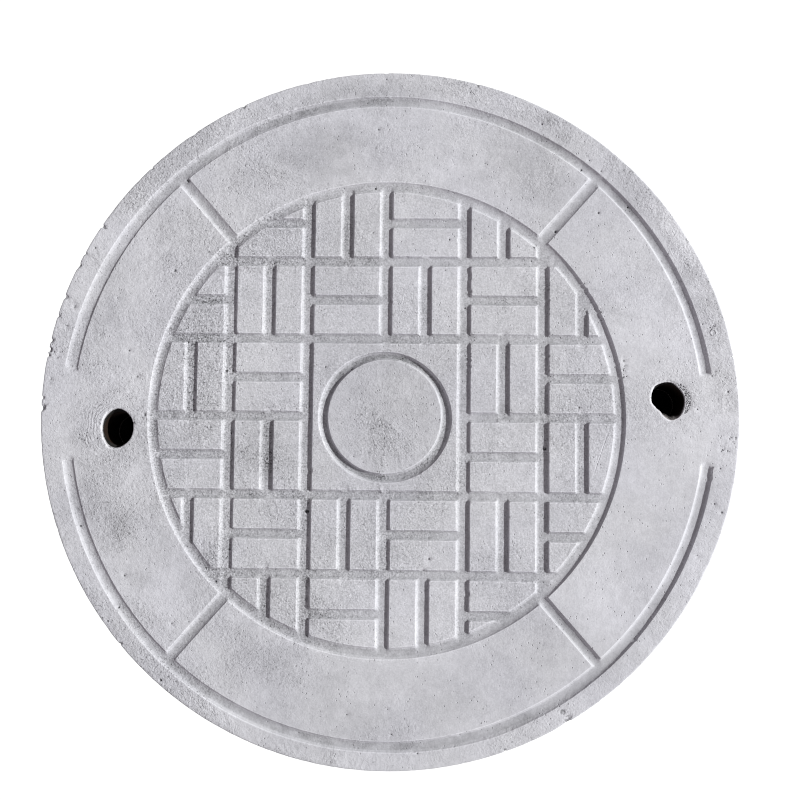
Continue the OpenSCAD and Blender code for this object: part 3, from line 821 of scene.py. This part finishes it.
# painted highlight on the rounded lip of each lifting hole, on the side that faces the key light; it is stored together
# with the scratches
lip_highlight = np.zeros(len(co))
for which, (a0, a1) in enumerate(((115, 285), (125, 290))):
    hx, hy, _, _ = HOLES[which]
    ang = np.mod(np.degrees(np.arctan2(Y - hy, X - hx)), 360)
    rim_gap = np.hypot(X - hx, Y - hy) - outline(RIM_TABLES[which]["top"], np.radians(ang))
    lip_highlight = np.maximum(lip_highlight, smooth(-0.6, 0.1, rim_gap) * smooth(2.2, 0.9, rim_gap) * smooth(a0 - 20, a0 + 15, ang) * smooth(a1 + 20, a1 - 15, ang) * (co[:, 2] > TOP - 1.5))
store("scratches_and_lip_highlight", np.where(on_face, scratch_mark(X, Y), 0) + lip_highlight * (0.75 + 0.5 * fbm(X, Y, 3, 85, 2)))
mid_r = np.hypot(X - PX, Y - PY)
disc = smooth(60, 54, mid_r)
du, dv = X - PX + 13, Y - PY + 19
crescent = smooth(53, 43, mid_r) * smooth(1.3, 0.6, np.hypot((0.85 * du - 0.53 * dv) / 50, (0.53 * du + 0.85 * dv) / 25) + 0.25 * fbm(X, Y, 12, 91, 2))
annulus, border = smooth(240, 246, mid_r), smooth(328, 336, rad)
fine_ = 0.80 + 0.54 * smooth(54, 66, mid_r) - 0.50 * annulus - 0.22 * smooth(100, -220, Y) * annulus - 0.17 * smooth(-60, -200, X) * annulus - 0.12 * border
store("fine", fine_ - 0.3 * (disc - crescent) + 0.16 * crescent)
turn = np.arctan2(Y - PY, X - PX)


def around(deg, reach):
    """1 towards a direction seen from the pattern's centre, falling to 0 reach degrees away."""
    off = np.abs(np.mod(np.degrees(turn) - deg + 180, 360) - 180)
    return smooth(reach, 0.25 * reach, off)


ring_zone, frame_zone = smooth(76, 70, mid_r), smooth(224, 229, mid_r) * smooth(243, 240, mid_r)
radial_zone, arc_zone = smooth(241, 246, mid_r) * smooth(310, 306, mid_r), smooth(308, 312, mid_r)
# how much darker each zone's groove floors are painted, by direction: painted shade in the recesses, partly dust
groove_dust_and_shade = 1 + ring_zone * (0.35 + 0.75 * around(72, 92) + 0.6 * around(235, 50)) + frame_zone * (0.5 * around(275, 80) - 0.15 * around(0, 50) - 0.1 * around(90, 60) - 0.2 * around(200, 70))
groove_dust_and_shade += radial_zone * (0.1 + 0.6 * around(311, 30)) + arc_zone * (0.1 - 0.75 * around(165, 40) - 0.35 * around(205, 30) + 0.15 * around(250, 40) + 0.35 * around(290, 26) + 0.6 * around(103, 16) + 0.7 * around(37, 13))
store("groove_dust_and_shade", groove_dust_and_shade)
# clouded patches: x, y, half width, half height, turn in degrees, strength (darker is positive)
CLOUDS = [
    (-72, 264, 54, 32, 8, 1.5), (-60, 320, 50, 14, 8, 0.7), (-200, 165, 34, 46, -25, 0.35), (-275, 128, 26, 42, -15, 0.7), (-288, 84, 22, 30, -10, 0.7),
    (-222, 192, 26, 20, 30, 0.55), (-306, -26, 18, 10, 0, 0.55), (-265, -113, 15, 17, 20, 0.95), (-240, -167, 13, 13, 0, 1.1), (-296, -80, 22, 30, 10, 0.5), (-120, -20, 12, 7, 0, 0.5), (-120, -50, 9, 16, 0, 0.5),
    (-120, -250, 56, 30, -20, 0.6), (170, -216, 44, 26, 30, 0.55), (142, 262, 52, 34, -25, 0.6), (252, 216, 26, 34, 35, 0.5), (168, 294, 30, 22, -20, 0.4),
    (-20, -318, 70, 14, 0, 0.5), (168, -318, 40, 16, 20, 0.5), (-42, 195, 46, 42, 0, 0.6), (-45, 130, 40, 36, 0, 0.55), (-120, -30, 40, 38, 0, 0.8),
    (-82, -180, 44, 40, 0, 0.45), (-130, -178, 36, 30, 0, 0.45), (0, 0, 74, 74, 0, 0.35), (330, 130, 14, 36, 25, 0.3), (0, -100, 60, 40, 0, 0.25),
    (42, 292, 66, 36, 0, -0.6), (-265, 38, 40, 34, 0, -0.55), (-222, -190, 34, 36, 20, -0.6), (-255, -70, 22, 22, 0, -0.5), (250, 120, 56, 90, 10, -0.85),
    (262, -80, 50, 80, -15, -0.2), (208, -172, 50, 50, 20, -0.6), (312, -20, 40, 44, 0, -0.8), (-10, -280, 80, 26, 0, -0.5), (-160, 268, 36, 22, 30, -0.3),
    (-25, 8, 30, 14, 20, -0.35), (-180, 60, 40, 40, 0, -0.2), (-190, -110, 40, 40, 0, -0.2), (300, -160, 30, 80, -25, -0.75), (318, 60, 40, 70, 10, -0.75),
    (0, -285, 120, 40, 0, 0.85), (150, -235, 60, 60, 40, 0.45), (255, -150, 40, 60, -25, 0.35), (120, 255, 70, 50, -25, 0.8), (10, 285, 70, 40, 0, 0.6), (300, 178, 22, 60, 30, -2.0), (-150, 245, 50, 40, 0, 0.3), (172, 298, 50, 12, -30, 0.35), (-180, -290, 60, 12, -30, -0.45), (180, -290, 60, 14, 30, -0.35), (0, 330, 90, 14, 0, 0.9), (-225, -245, 40, 40, 0, -0.3), (212, -250, 40, 30, 30, 0.2),
]
stain = 0.26 * smooth(250, 226, mid_r) + 0.22 * smooth(66, 58, mid_r) + 0.3 * smooth(81, 76, np.abs(X - PX)) * smooth(81, 76, np.abs(Y - PY)) * smooth(58, 68, mid_r)
stain += (0.22 - 0.16 * around(120, 75)) * annulus * smooth(0.1, 0.6, np.abs(np.sin(turn))) * (0.3 + 0.7 * smooth(322, 312, rad))
for sx_, sy_, a_, b_, tilt, strength in CLOUDS:
    t = math.radians(tilt)
    u = (X - sx_) * math.cos(t) + (Y - sy_) * math.sin(t)
    v = -(X - sx_) * math.sin(t) + (Y - sy_) * math.cos(t)
    warp = 0.3 * fbm(X, Y, 26, 81, 3) + 0.2 * fbm(X, Y, 7, 82, 2)
    stain += strength * smooth(1.3, 0.2, np.hypot(u / a_, v / b_) + warp)
store("stain", stain)
sand = 0.2 + 0.65 * smooth(40, -180, X) + 0.45 * smooth(318, 338, rad) + 0.35 * np.clip(stain, 0, 1) + 0.45 * smooth(52, 24, from_hole) + 0.32 * smooth(242, 222, np.hypot(X - PX, Y - PY)) + 0.2 * smooth(66, 50, np.hypot(X - PX, Y - PY)) + 0.25 * smooth(328, 338, rad) - 0.3 * (disc - crescent) + 0.5 * crescent - 0.3 * smooth(-150, -240, Y) * smooth(-210, -130, X) + 0.45 * border * around(40, 24) - 0.55 * smooth(1.25, 0.6, np.hypot((X + 75) / 54, (Y - 262) / 34))
store("sand", np.clip(sand + 0.35 * fbm(X, Y, 60, 83, 3), 0, 1.3))


# ---------------------------------------------------------------- materials
class Tree:
    def __init__(self, name):
        self.mat = bpy.data.materials.new(name)
        self.mat.use_nodes = True
        self.nt = self.mat.node_tree
        self.nt.nodes.clear()
        self.out = self.add("ShaderNodeOutputMaterial")
        self.bsdf = self.add("ShaderNodeBsdfPrincipled")
        self.nt.links.new(self.bsdf.outputs[0], self.out.inputs[0])
        self.pos = self.add("ShaderNodeTexCoord").outputs["Object"]

    def add(self, kind, **props):
        n = self.nt.nodes.new(kind)
        for k, v in props.items():
            setattr(n, k, v)
        return n

    def link(self, a, b):
        self.nt.links.new(a, b)

    def put(self, socket, value):
        if isinstance(value, bpy.types.NodeSocket):
            self.link(value, socket)
        else:
            socket.default_value = value

    def noise(self, scale, detail=3.0, rough=0.55, shift=0.0, vec=None, dist=0.0):
        n = self.add("ShaderNodeTexNoise")
        n.inputs["Scale"].default_value = scale
        n.inputs["Detail"].default_value = detail
        n.inputs["Roughness"].default_value = rough
        n.inputs["Distortion"].default_value = dist
        v = vec or self.pos
        if shift:
            m = self.add("ShaderNodeVectorMath", operation="ADD")
            self.link(v, m.inputs[0])
            m.inputs[1].default_value = (shift, -shift * 0.7, shift * 1.3)
            v = m.outputs[0]
        self.link(v, n.inputs["Vector"])
        return n.outputs[0]

    def voronoi(self, scale, feature="F1", shift=0.0, rand=1.0):
        n = self.add("ShaderNodeTexVoronoi", feature=feature)
        n.inputs["Scale"].default_value = scale
        n.inputs["Randomness"].default_value = rand
        m = self.add("ShaderNodeVectorMath", operation="ADD")
        self.link(self.pos, m.inputs[0])
        m.inputs[1].default_value = (shift, shift * 0.6, -shift)
        self.link(m.outputs[0], n.inputs["Vector"])
        return n

    def math(self, op, a, b=0.0, c=0.0, clamp=False):
        n = self.add("ShaderNodeMath", operation=op, use_clamp=clamp)
        for s, v in zip(n.inputs, (a, b, c)):
            self.put(s, v)
        return n.outputs[0]

    def rng(self, v, a, b, lo=0.0, hi=1.0, smooth_=True):
        n = self.add("ShaderNodeMapRange", interpolation_type="SMOOTHSTEP" if smooth_ else "LINEAR")
        self.put(n.inputs["Value"], v)
        for k, x in (("From Min", a), ("From Max", b), ("To Min", lo), ("To Max", hi)):
            n.inputs[k].default_value = x
        return n.outputs[0]

    def mix(self, fac, a, b, blend="MIX"):
        n = self.add("ShaderNodeMix", data_type="RGBA", blend_type=blend)
        self.put(n.inputs[0], fac)
        for s, v in ((n.inputs[6], a), (n.inputs[7], b)):
            self.put(s, (*v, 1.0) if isinstance(v, tuple) and len(v) == 3 else v)
        return n.outputs[2]

    def grey(self, v):
        n = self.add("ShaderNodeCombineColor")
        for s in n.inputs[:3]:
            self.put(s, v)
        return n.outputs[0]

    def attr(self, name):
        return self.add("ShaderNodeAttribute", attribute_name=name).outputs["Fac"]

    def bump(self, height, strength, distance, normal=None):
        n = self.add("ShaderNodeBump")
        n.inputs["Strength"].default_value = strength
        n.inputs["Distance"].default_value = distance
        self.put(n.inputs["Height"], height)
        if normal is not None:
            self.link(normal, n.inputs["Normal"])
        return n.outputs[0]


def concrete():
    t = Tree("cast_concrete")
    edge, groove, pit, sand, stain_, scratches_and_lip_highlight, fine, floor_dust_and_shade = (t.attr(n) for n in ("edge", "groove", "pit", "sand", "stain", "scratches_and_lip_highlight", "fine", "groove_dust_and_shade"))
    side, under, hole_wall_shade = (t.attr(n) for n in ("zone_side", "zone_under", "zone_hole_shade"))

    def sway(n, amount):
        return t.math("MULTIPLY", t.math("SUBTRACT", n, 0.5), amount)

    inside = t.rng(groove, 0.55, 0.96)
    mid = t.noise(14, 4, 0.6, 3.1)
    grain = t.noise(560, 3, 0.7, 1.9)
    patch = t.rng(t.noise(9, 5, 0.62, 21.0, dist=0.6), 0.42, 0.64)
    coarse = t.math("MULTIPLY", sand, t.math("ADD", 0.45, t.math("MULTIPLY", patch, 0.8)))
    # value: clouding at several sizes
    v = t.math("ADD", 1.0, sway(t.noise(3.2, 3, 0.55), 0.16))
    for n, amount in ((mid, 0.24), (t.noise(55, 4, 0.6, 5.7), 0.26), (t.noise(150, 3, 0.6, 6.9), 0.26)):
        v = t.math("ADD", v, sway(n, amount))
    v = t.math("ADD", v, t.math("MULTIPLY", sway(t.noise(1100, 2, 0.6, 8.3), 0.34), fine))
    size = t.math("MULTIPLY", t.math("ADD", 0.50, t.math("MULTIPLY", coarse, 0.55)), t.math("ADD", 1.0, t.math("MULTIPLY", inside, t.math("SUBTRACT", t.math("MULTIPLY", sand, 0.6), 0.25))))
    v = t.math("ADD", v, t.math("MULTIPLY", t.math("SUBTRACT", grain, 0.5), t.math("MULTIPLY", size, fine)))
    # dark sandy specks
    speck = t.rng(t.noise(420, 2, 0.6, 12.1), 0.58, 0.70)
    v = t.math("SUBTRACT", v, t.math("MULTIPLY", t.math("MULTIPLY", speck, coarse), 0.36))
    v = t.math("SUBTRACT", v, t.math("MULTIPLY", t.math("MULTIPLY", patch, sand), 0.05))
    v = t.math("SUBTRACT", v, t.math("MULTIPLY", stain_, 0.13))
    # groove floors are painted darker: painted shade in the recesses, partly dust; arrises are brightened: a painted
    # highlight, partly rubbed wear
    dust_and_shade = t.math("ADD", 0.17, t.math("MULTIPLY", sand, 0.05))
    dust_and_shade = t.math("ADD", dust_and_shade, sway(t.noise(70, 3, 0.6, 31), 0.22))
    v = t.math("SUBTRACT", v, t.math("MULTIPLY", inside, t.math("MULTIPLY", dust_and_shade, floor_dust_and_shade)))
    # painted highlight along the arrises, partly rubbed wear
    arris = t.math("MULTIPLY", t.rng(edge, -0.8, -0.1), t.rng(edge, 1.0, 0.3))
    v = t.math("ADD", v, t.math("MULTIPLY", arris, t.math("MULTIPLY", t.noise(110, 3, 0.6, 41), 0.36)))
    # painted shade in pits, chips and notches
    v = t.math("SUBTRACT", v, t.math("MULTIPLY", pit, 0.76))
    v = t.math("SUBTRACT", v, t.math("MULTIPLY", side, 0.03))
    # painted shade down the lifting-hole walls; the same mask tints them brown
    v = t.math("SUBTRACT", v, t.math("MULTIPLY", hole_wall_shade, t.math("ADD", 0.88, t.math("MULTIPLY", t.noise(330, 3, 0.6, 47.0), 0.30))))
    v = t.math("MAXIMUM", v, 0.02)
    # pale scratches, and the painted highlight on the lifting-hole lips
    v = t.math("ADD", v, t.math("MULTIPLY", scratches_and_lip_highlight, 0.22))
    # pale lime bloom, faint
    bloom = t.rng(t.noise(22, 5, 0.65, 51.0, dist=1.0), 0.56, 0.74)
    v = t.math("ADD", v, t.math("MULTIPLY", bloom, 0.06))
    hue = t.rng(t.noise(11, 3, 0.5, 61.0), 0.35, 0.65)
    base = t.mix(hue, (0.462, 0.461, 0.494), (0.478, 0.477, 0.503))
    col = t.mix(1.0, base, t.grey(v), "MULTIPLY")
    warm = t.math("MULTIPLY", under, t.rng(t.noise(8, 3, 0.5, 71.0), 0.3, 0.7, 0.25, 0.7))
    col = t.mix(warm, col, t.mix(1.0, (0.40, 0.385, 0.36), t.grey(v), "MULTIPLY"))
    col = t.mix(t.math("MULTIPLY", hole_wall_shade, 0.6), col, t.mix(1.0, (0.42, 0.34, 0.29), t.grey(v), "MULTIPLY"))
    t.link(col, t.bsdf.inputs["Base Color"])
    rough = t.math("ADD", 0.80, t.math("MULTIPLY", mid, 0.16))
    t.link(rough, t.bsdf.inputs["Roughness"])
    t.bsdf.inputs["Specular IOR Level"].default_value = 0.3
    # relief: sand grains, tiny air holes
    air = t.voronoi(260, shift=2.0)
    holes = t.math("MULTIPLY", t.rng(air.outputs["Distance"], 0.10, 0.24, -1.0, 0.0), t.rng(t.noise(70, 2, 0.5, 90.0), 0.5, 0.62))
    rise = t.math("ADD", 0.30, coarse)
    h = t.math("MULTIPLY", t.noise(620, 3, 0.65, 13.0), t.math("MULTIPLY", rise, 0.8))
    h = t.math("ADD", h, t.math("MULTIPLY", t.noise(260, 4, 0.65, 17.0), t.math("MULTIPLY", rise, 1.5)))
    h = t.math("ADD", h, t.math("MULTIPLY", t.noise(85, 3, 0.5, 19.0), 1.0))
    h = t.math("ADD", h, t.math("MULTIPLY", holes, 1.2))
    h = t.math("ADD", h, t.math("MULTIPLY", t.math("MULTIPLY", hole_wall_shade, t.noise(500, 4, 0.75, 23.0)), 3.0))
    h = t.math("ADD", h, t.math("MULTIPLY", scratches_and_lip_highlight, -0.5))
    # faint ridges round the left lifting hole, left by the former
    sep = t.add("ShaderNodeVectorMath", operation="DISTANCE")
    t.link(t.pos, sep.inputs[0])
    sep.inputs[1].default_value = (HOLES[0][0] / MM, HOLES[0][1] / MM, TOP / MM)
    away = t.math("ADD", sep.outputs["Value"], sway(t.noise(40, 3, 0.6, 97.0), 0.012))
    ridge = t.math("SINE", t.math("MULTIPLY", away, 2100.0))
    fade = t.math("MULTIPLY", t.rng(away, 0.019, 0.022), t.rng(away, 0.044, 0.030))
    lean = t.add("ShaderNodeVectorMath", operation="DOT_PRODUCT")
    t.link(t.pos, lean.inputs[0])
    lean.inputs[1].default_value = (-0.8, 0.6, 0)
    fade = t.math("MULTIPLY", fade, t.rng(lean.outputs["Value"], -0.8 * HOLES[0][0] / MM + 0.6 * HOLES[0][1] / MM - 0.012, -0.8 * HOLES[0][0] / MM + 0.6 * HOLES[0][1] / MM + 0.010))
    fade = t.math("MULTIPLY", fade, t.rng(t.noise(60, 3, 0.6, 99.0), 0.42, 0.60, 0.0, 1.0))
    h = t.math("ADD", h, t.math("MULTIPLY", t.math("MULTIPLY", ridge, fade), 0.30))
    # trowel wisps, and a small cast-in ring near the right edge
    h = t.math("ADD", h, t.math("MULTIPLY", t.noise(150, 3, 0.6, 33.0, dist=2.6), t.math("MULTIPLY", coarse, 1.5)))
    spot = t.add("ShaderNodeVectorMath", operation="DISTANCE")
    t.link(t.pos, spot.inputs[0])
    spot.inputs[1].default_value = (0.3248, 0.0844, TOP / MM)
    off = t.math("ADD", spot.outputs["Value"], sway(t.noise(400, 2, 0.6, 37.0), 0.0012))
    h = t.math("ADD", h, t.math("MULTIPLY", t.math("MULTIPLY", t.rng(off, 0.0016, 0.0024), t.rng(off, 0.0040, 0.0030)), 1.6))
    t.link(t.bump(h, 1.0, 0.0005), t.bsdf.inputs["Normal"])
    return t.mat


def steel(name, dark, rust, rust_amount, cement=0.0, metal=0.55):
    t = Tree(name)
    patch = t.rng(t.noise(55, 5, 0.65, 2.0, dist=0.5), 0.50 - rust_amount * 0.25, 0.68 - rust_amount * 0.2)
    fine = t.noise(900, 4, 0.7, 5.0)
    c1 = t.mix(t.noise(160, 4, 0.6, 7.0), dark, tuple(min(1, c * 1.9 + 0.01) for c in dark))
    c2 = t.mix(t.noise(240, 4, 0.65, 9.0), rust, (rust[0] * 1.9, rust[1] * 2.1, rust[2] * 2.2))
    col = t.mix(patch, c1, c2)
    col = t.mix(0.35, col, t.mix(1.0, col, t.grey(fine), "MULTIPLY"))
    if cement:
        film = t.math("MULTIPLY", t.rng(t.noise(38, 5, 0.7, 15.0), 0.52, 0.62), cement)
        col = t.mix(film, col, (0.20, 0.18, 0.17))
    t.link(col, t.bsdf.inputs["Base Color"])
    t.link(t.math("MULTIPLY", t.math("SUBTRACT", 1.0, patch), metal), t.bsdf.inputs["Metallic"])
    t.link(t.math("ADD", 0.48, t.math("MULTIPLY", patch, 0.4)), t.bsdf.inputs["Roughness"])
    h = t.math("ADD", t.math("MULTIPLY", t.noise(420, 4, 0.7, 11.0), 0.6), t.math("MULTIPLY", patch, 0.5))
    t.link(t.bump(h, 0.6, 0.0003), t.bsdf.inputs["Normal"])
    return t.mat


mesh.materials.append(concrete())
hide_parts("concrete_slab")
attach(slab, "root")

REBAR = steel("rebar_mill_scale", (0.075, 0.070, 0.068), (0.150, 0.062, 0.030), 0.55)
# the sleeves are coloured near black: painted shade deep inside the lifting holes, over a little rust
SLEEVE = steel("sleeve_rust_and_shade", (0.006, 0.005, 0.0045), (0.020, 0.012, 0.009), 0.8, cement=0.06, metal=0.0)
SLEEVE.node_tree.nodes["Principled BSDF"].inputs["Specular IOR Level"].default_value = 0.05
WIRE = steel("annealed_wire", (0.035, 0.035, 0.037), (0.110, 0.050, 0.028), 0.2)
for name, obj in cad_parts.items():
    if name == "concrete_slab":
        continue
    m = SLEEVE if "sleeve" in name else WIRE if "wire" in name else REBAR
    obj.data.materials.clear()
    obj.data.materials.append(m)
    for p in obj.data.polygons:
        p.use_smooth = len(p.vertices) > 2

# ---------------------------------------------------------------- floor, and a dark disc under the slab: painted shade seen through the lifting holes
def stage_material(name, colour, rough=0.9, see_below=True):
    m = bpy.data.materials.new(name)
    m.use_nodes = True
    nt = m.node_tree
    b = nt.nodes["Principled BSDF"]
    b.inputs["Base Color"].default_value = (*colour, 1)
    b.inputs["Roughness"].default_value = rough
    b.inputs["Specular IOR Level"].default_value = 0.1
    if see_below:
        # seen from below, or from a surface lying on it, the floor lets light through, so that the underside can be looked at
        geo = nt.nodes.new("ShaderNodeNewGeometry")
        path = nt.nodes.new("ShaderNodeLightPath")
        close = nt.nodes.new("ShaderNodeMath")
        close.operation = "LESS_THAN"
        close.inputs[1].default_value = 0.004
        nt.links.new(path.outputs["Ray Length"], close.inputs[0])
        either = nt.nodes.new("ShaderNodeMath")
        either.operation = "MAXIMUM"
        nt.links.new(geo.outputs["Backfacing"], either.inputs[0])
        nt.links.new(close.outputs[0], either.inputs[1])
        clear = nt.nodes.new("ShaderNodeBsdfTransparent")
        mix = nt.nodes.new("ShaderNodeMixShader")
        nt.links.new(either.outputs[0], mix.inputs[0])
        nt.links.new(b.outputs[0], mix.inputs[1])
        nt.links.new(clear.outputs[0], mix.inputs[2])
        nt.links.new(mix.outputs[0], nt.nodes["Material Output"].inputs[0])
    return m


def plane(name, size, z, mat, sides=4):
    me = bpy.data.meshes.new(name)
    ring = [(size * math.cos(2 * math.pi * (k + 0.5) / sides), size * math.sin(2 * math.pi * (k + 0.5) / sides), z) for k in range(sides)]
    me.from_pydata(ring, [], [list(range(sides))])
    o = bpy.data.objects.new(name, me)
    me.materials.append(mat)
    bpy.context.scene.collection.objects.link(o)
    o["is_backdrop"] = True
    return o


floor = plane("floor", 30.0, -0.0012, stage_material("pale_floor", (0.93, 0.93, 0.93)))
pit = plane("pit_shade", (RIM - 14) / MM, -0.0006, stage_material("painted_shade_disc", (0.004, 0.004, 0.004)), 96)

# ---------------------------------------------------------------- light
scene = bpy.context.scene
world = bpy.data.worlds.new("studio")
scene.world = world
world.use_nodes = True
wn = world.node_tree
bg = wn.nodes["Background"]
bg.inputs[0].default_value = (0.98, 0.895, 0.95, 1)
bg.inputs[1].default_value = 0.22
seen = wn.nodes.new("ShaderNodeBackground")
seen.inputs[0].default_value = (1, 1, 1, 1)
seen.inputs[1].default_value = 0.98
path = wn.nodes.new("ShaderNodeLightPath")
mix = wn.nodes.new("ShaderNodeMixShader")
wn.links.new(path.outputs["Is Camera Ray"], mix.inputs[0])
wn.links.new(bg.outputs[0], mix.inputs[1])
wn.links.new(seen.outputs[0], mix.inputs[2])
wn.links.new(mix.outputs[0], wn.nodes["World Output"].inputs[0])


def sun(name, azimuth, elevation, strength, angle, colour=(1, 1, 1)):
    """azimuth is where the light comes from, counter-clockwise from +X."""
    d = bpy.data.lights.new(name, "SUN")
    d.energy, d.angle, d.color = strength, math.radians(angle), colour
    o = bpy.data.objects.new(name, d)
    a, e = math.radians(azimuth), math.radians(elevation)
    away = Vector((math.cos(a) * math.cos(e), math.sin(a) * math.cos(e), math.sin(e)))
    o.rotation_mode = "QUATERNION"
    o.rotation_quaternion = away.to_track_quat("Z", "Y")
    o.location = away * 3
    scene.collection.objects.link(o)
    return o


key = sun("key", 10, 35.5, 5.1, 2.6, (1.0, 1.018, 1.0))
fill = sun("fill", -95, 42, 0.50, 25, (1.0, 0.95, 1.0))
over = sun("floor_light", 0, 90, 3.0, 30, (0.985, 1.0, 0.99))
part_group = bpy.data.collections.new("lit_by_key")
stage_group = bpy.data.collections.new("lit_by_floor_light")
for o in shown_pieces():
    part_group.objects.link(o)
stage_group.objects.link(floor)
key.light_linking.receiver_collection = part_group
fill.light_linking.receiver_collection = part_group
over.light_linking.receiver_collection = stage_group

# ---------------------------------------------------------------- camera at the photograph's viewing angle
cam = bpy.data.cameras.new("camera")
cam_o = bpy.data.objects.new("camera", cam)
scene.collection.objects.link(cam_o)
S = 350.0 / 348.43
C = (np.array([61.5236, -69.9768, 1154.8073]) * S + np.array([-2.03, -2.56, TOP])) / MM
R = np.array([[0.99918541, 0.0111054, -0.03879679], [0.0081559, -0.99712215, -0.07537175], [-0.03952217, 0.07499393, -0.99640048]])
cam.lens, cam.sensor_width = 1164.6 * 36 / 800, 36
cam.clip_start, cam.clip_end = 0.01, 200
cam_o.matrix_world = Matrix([[R[0][i], -R[1][i], -R[2][i], C[i]] for i in range(3)] + [[0, 0, 0, 1]])
scene.camera = cam_o
scene.view_settings.view_transform = "Standard"
scene.view_settings.look = "None"
scene.cycles.filter_width = 1.1
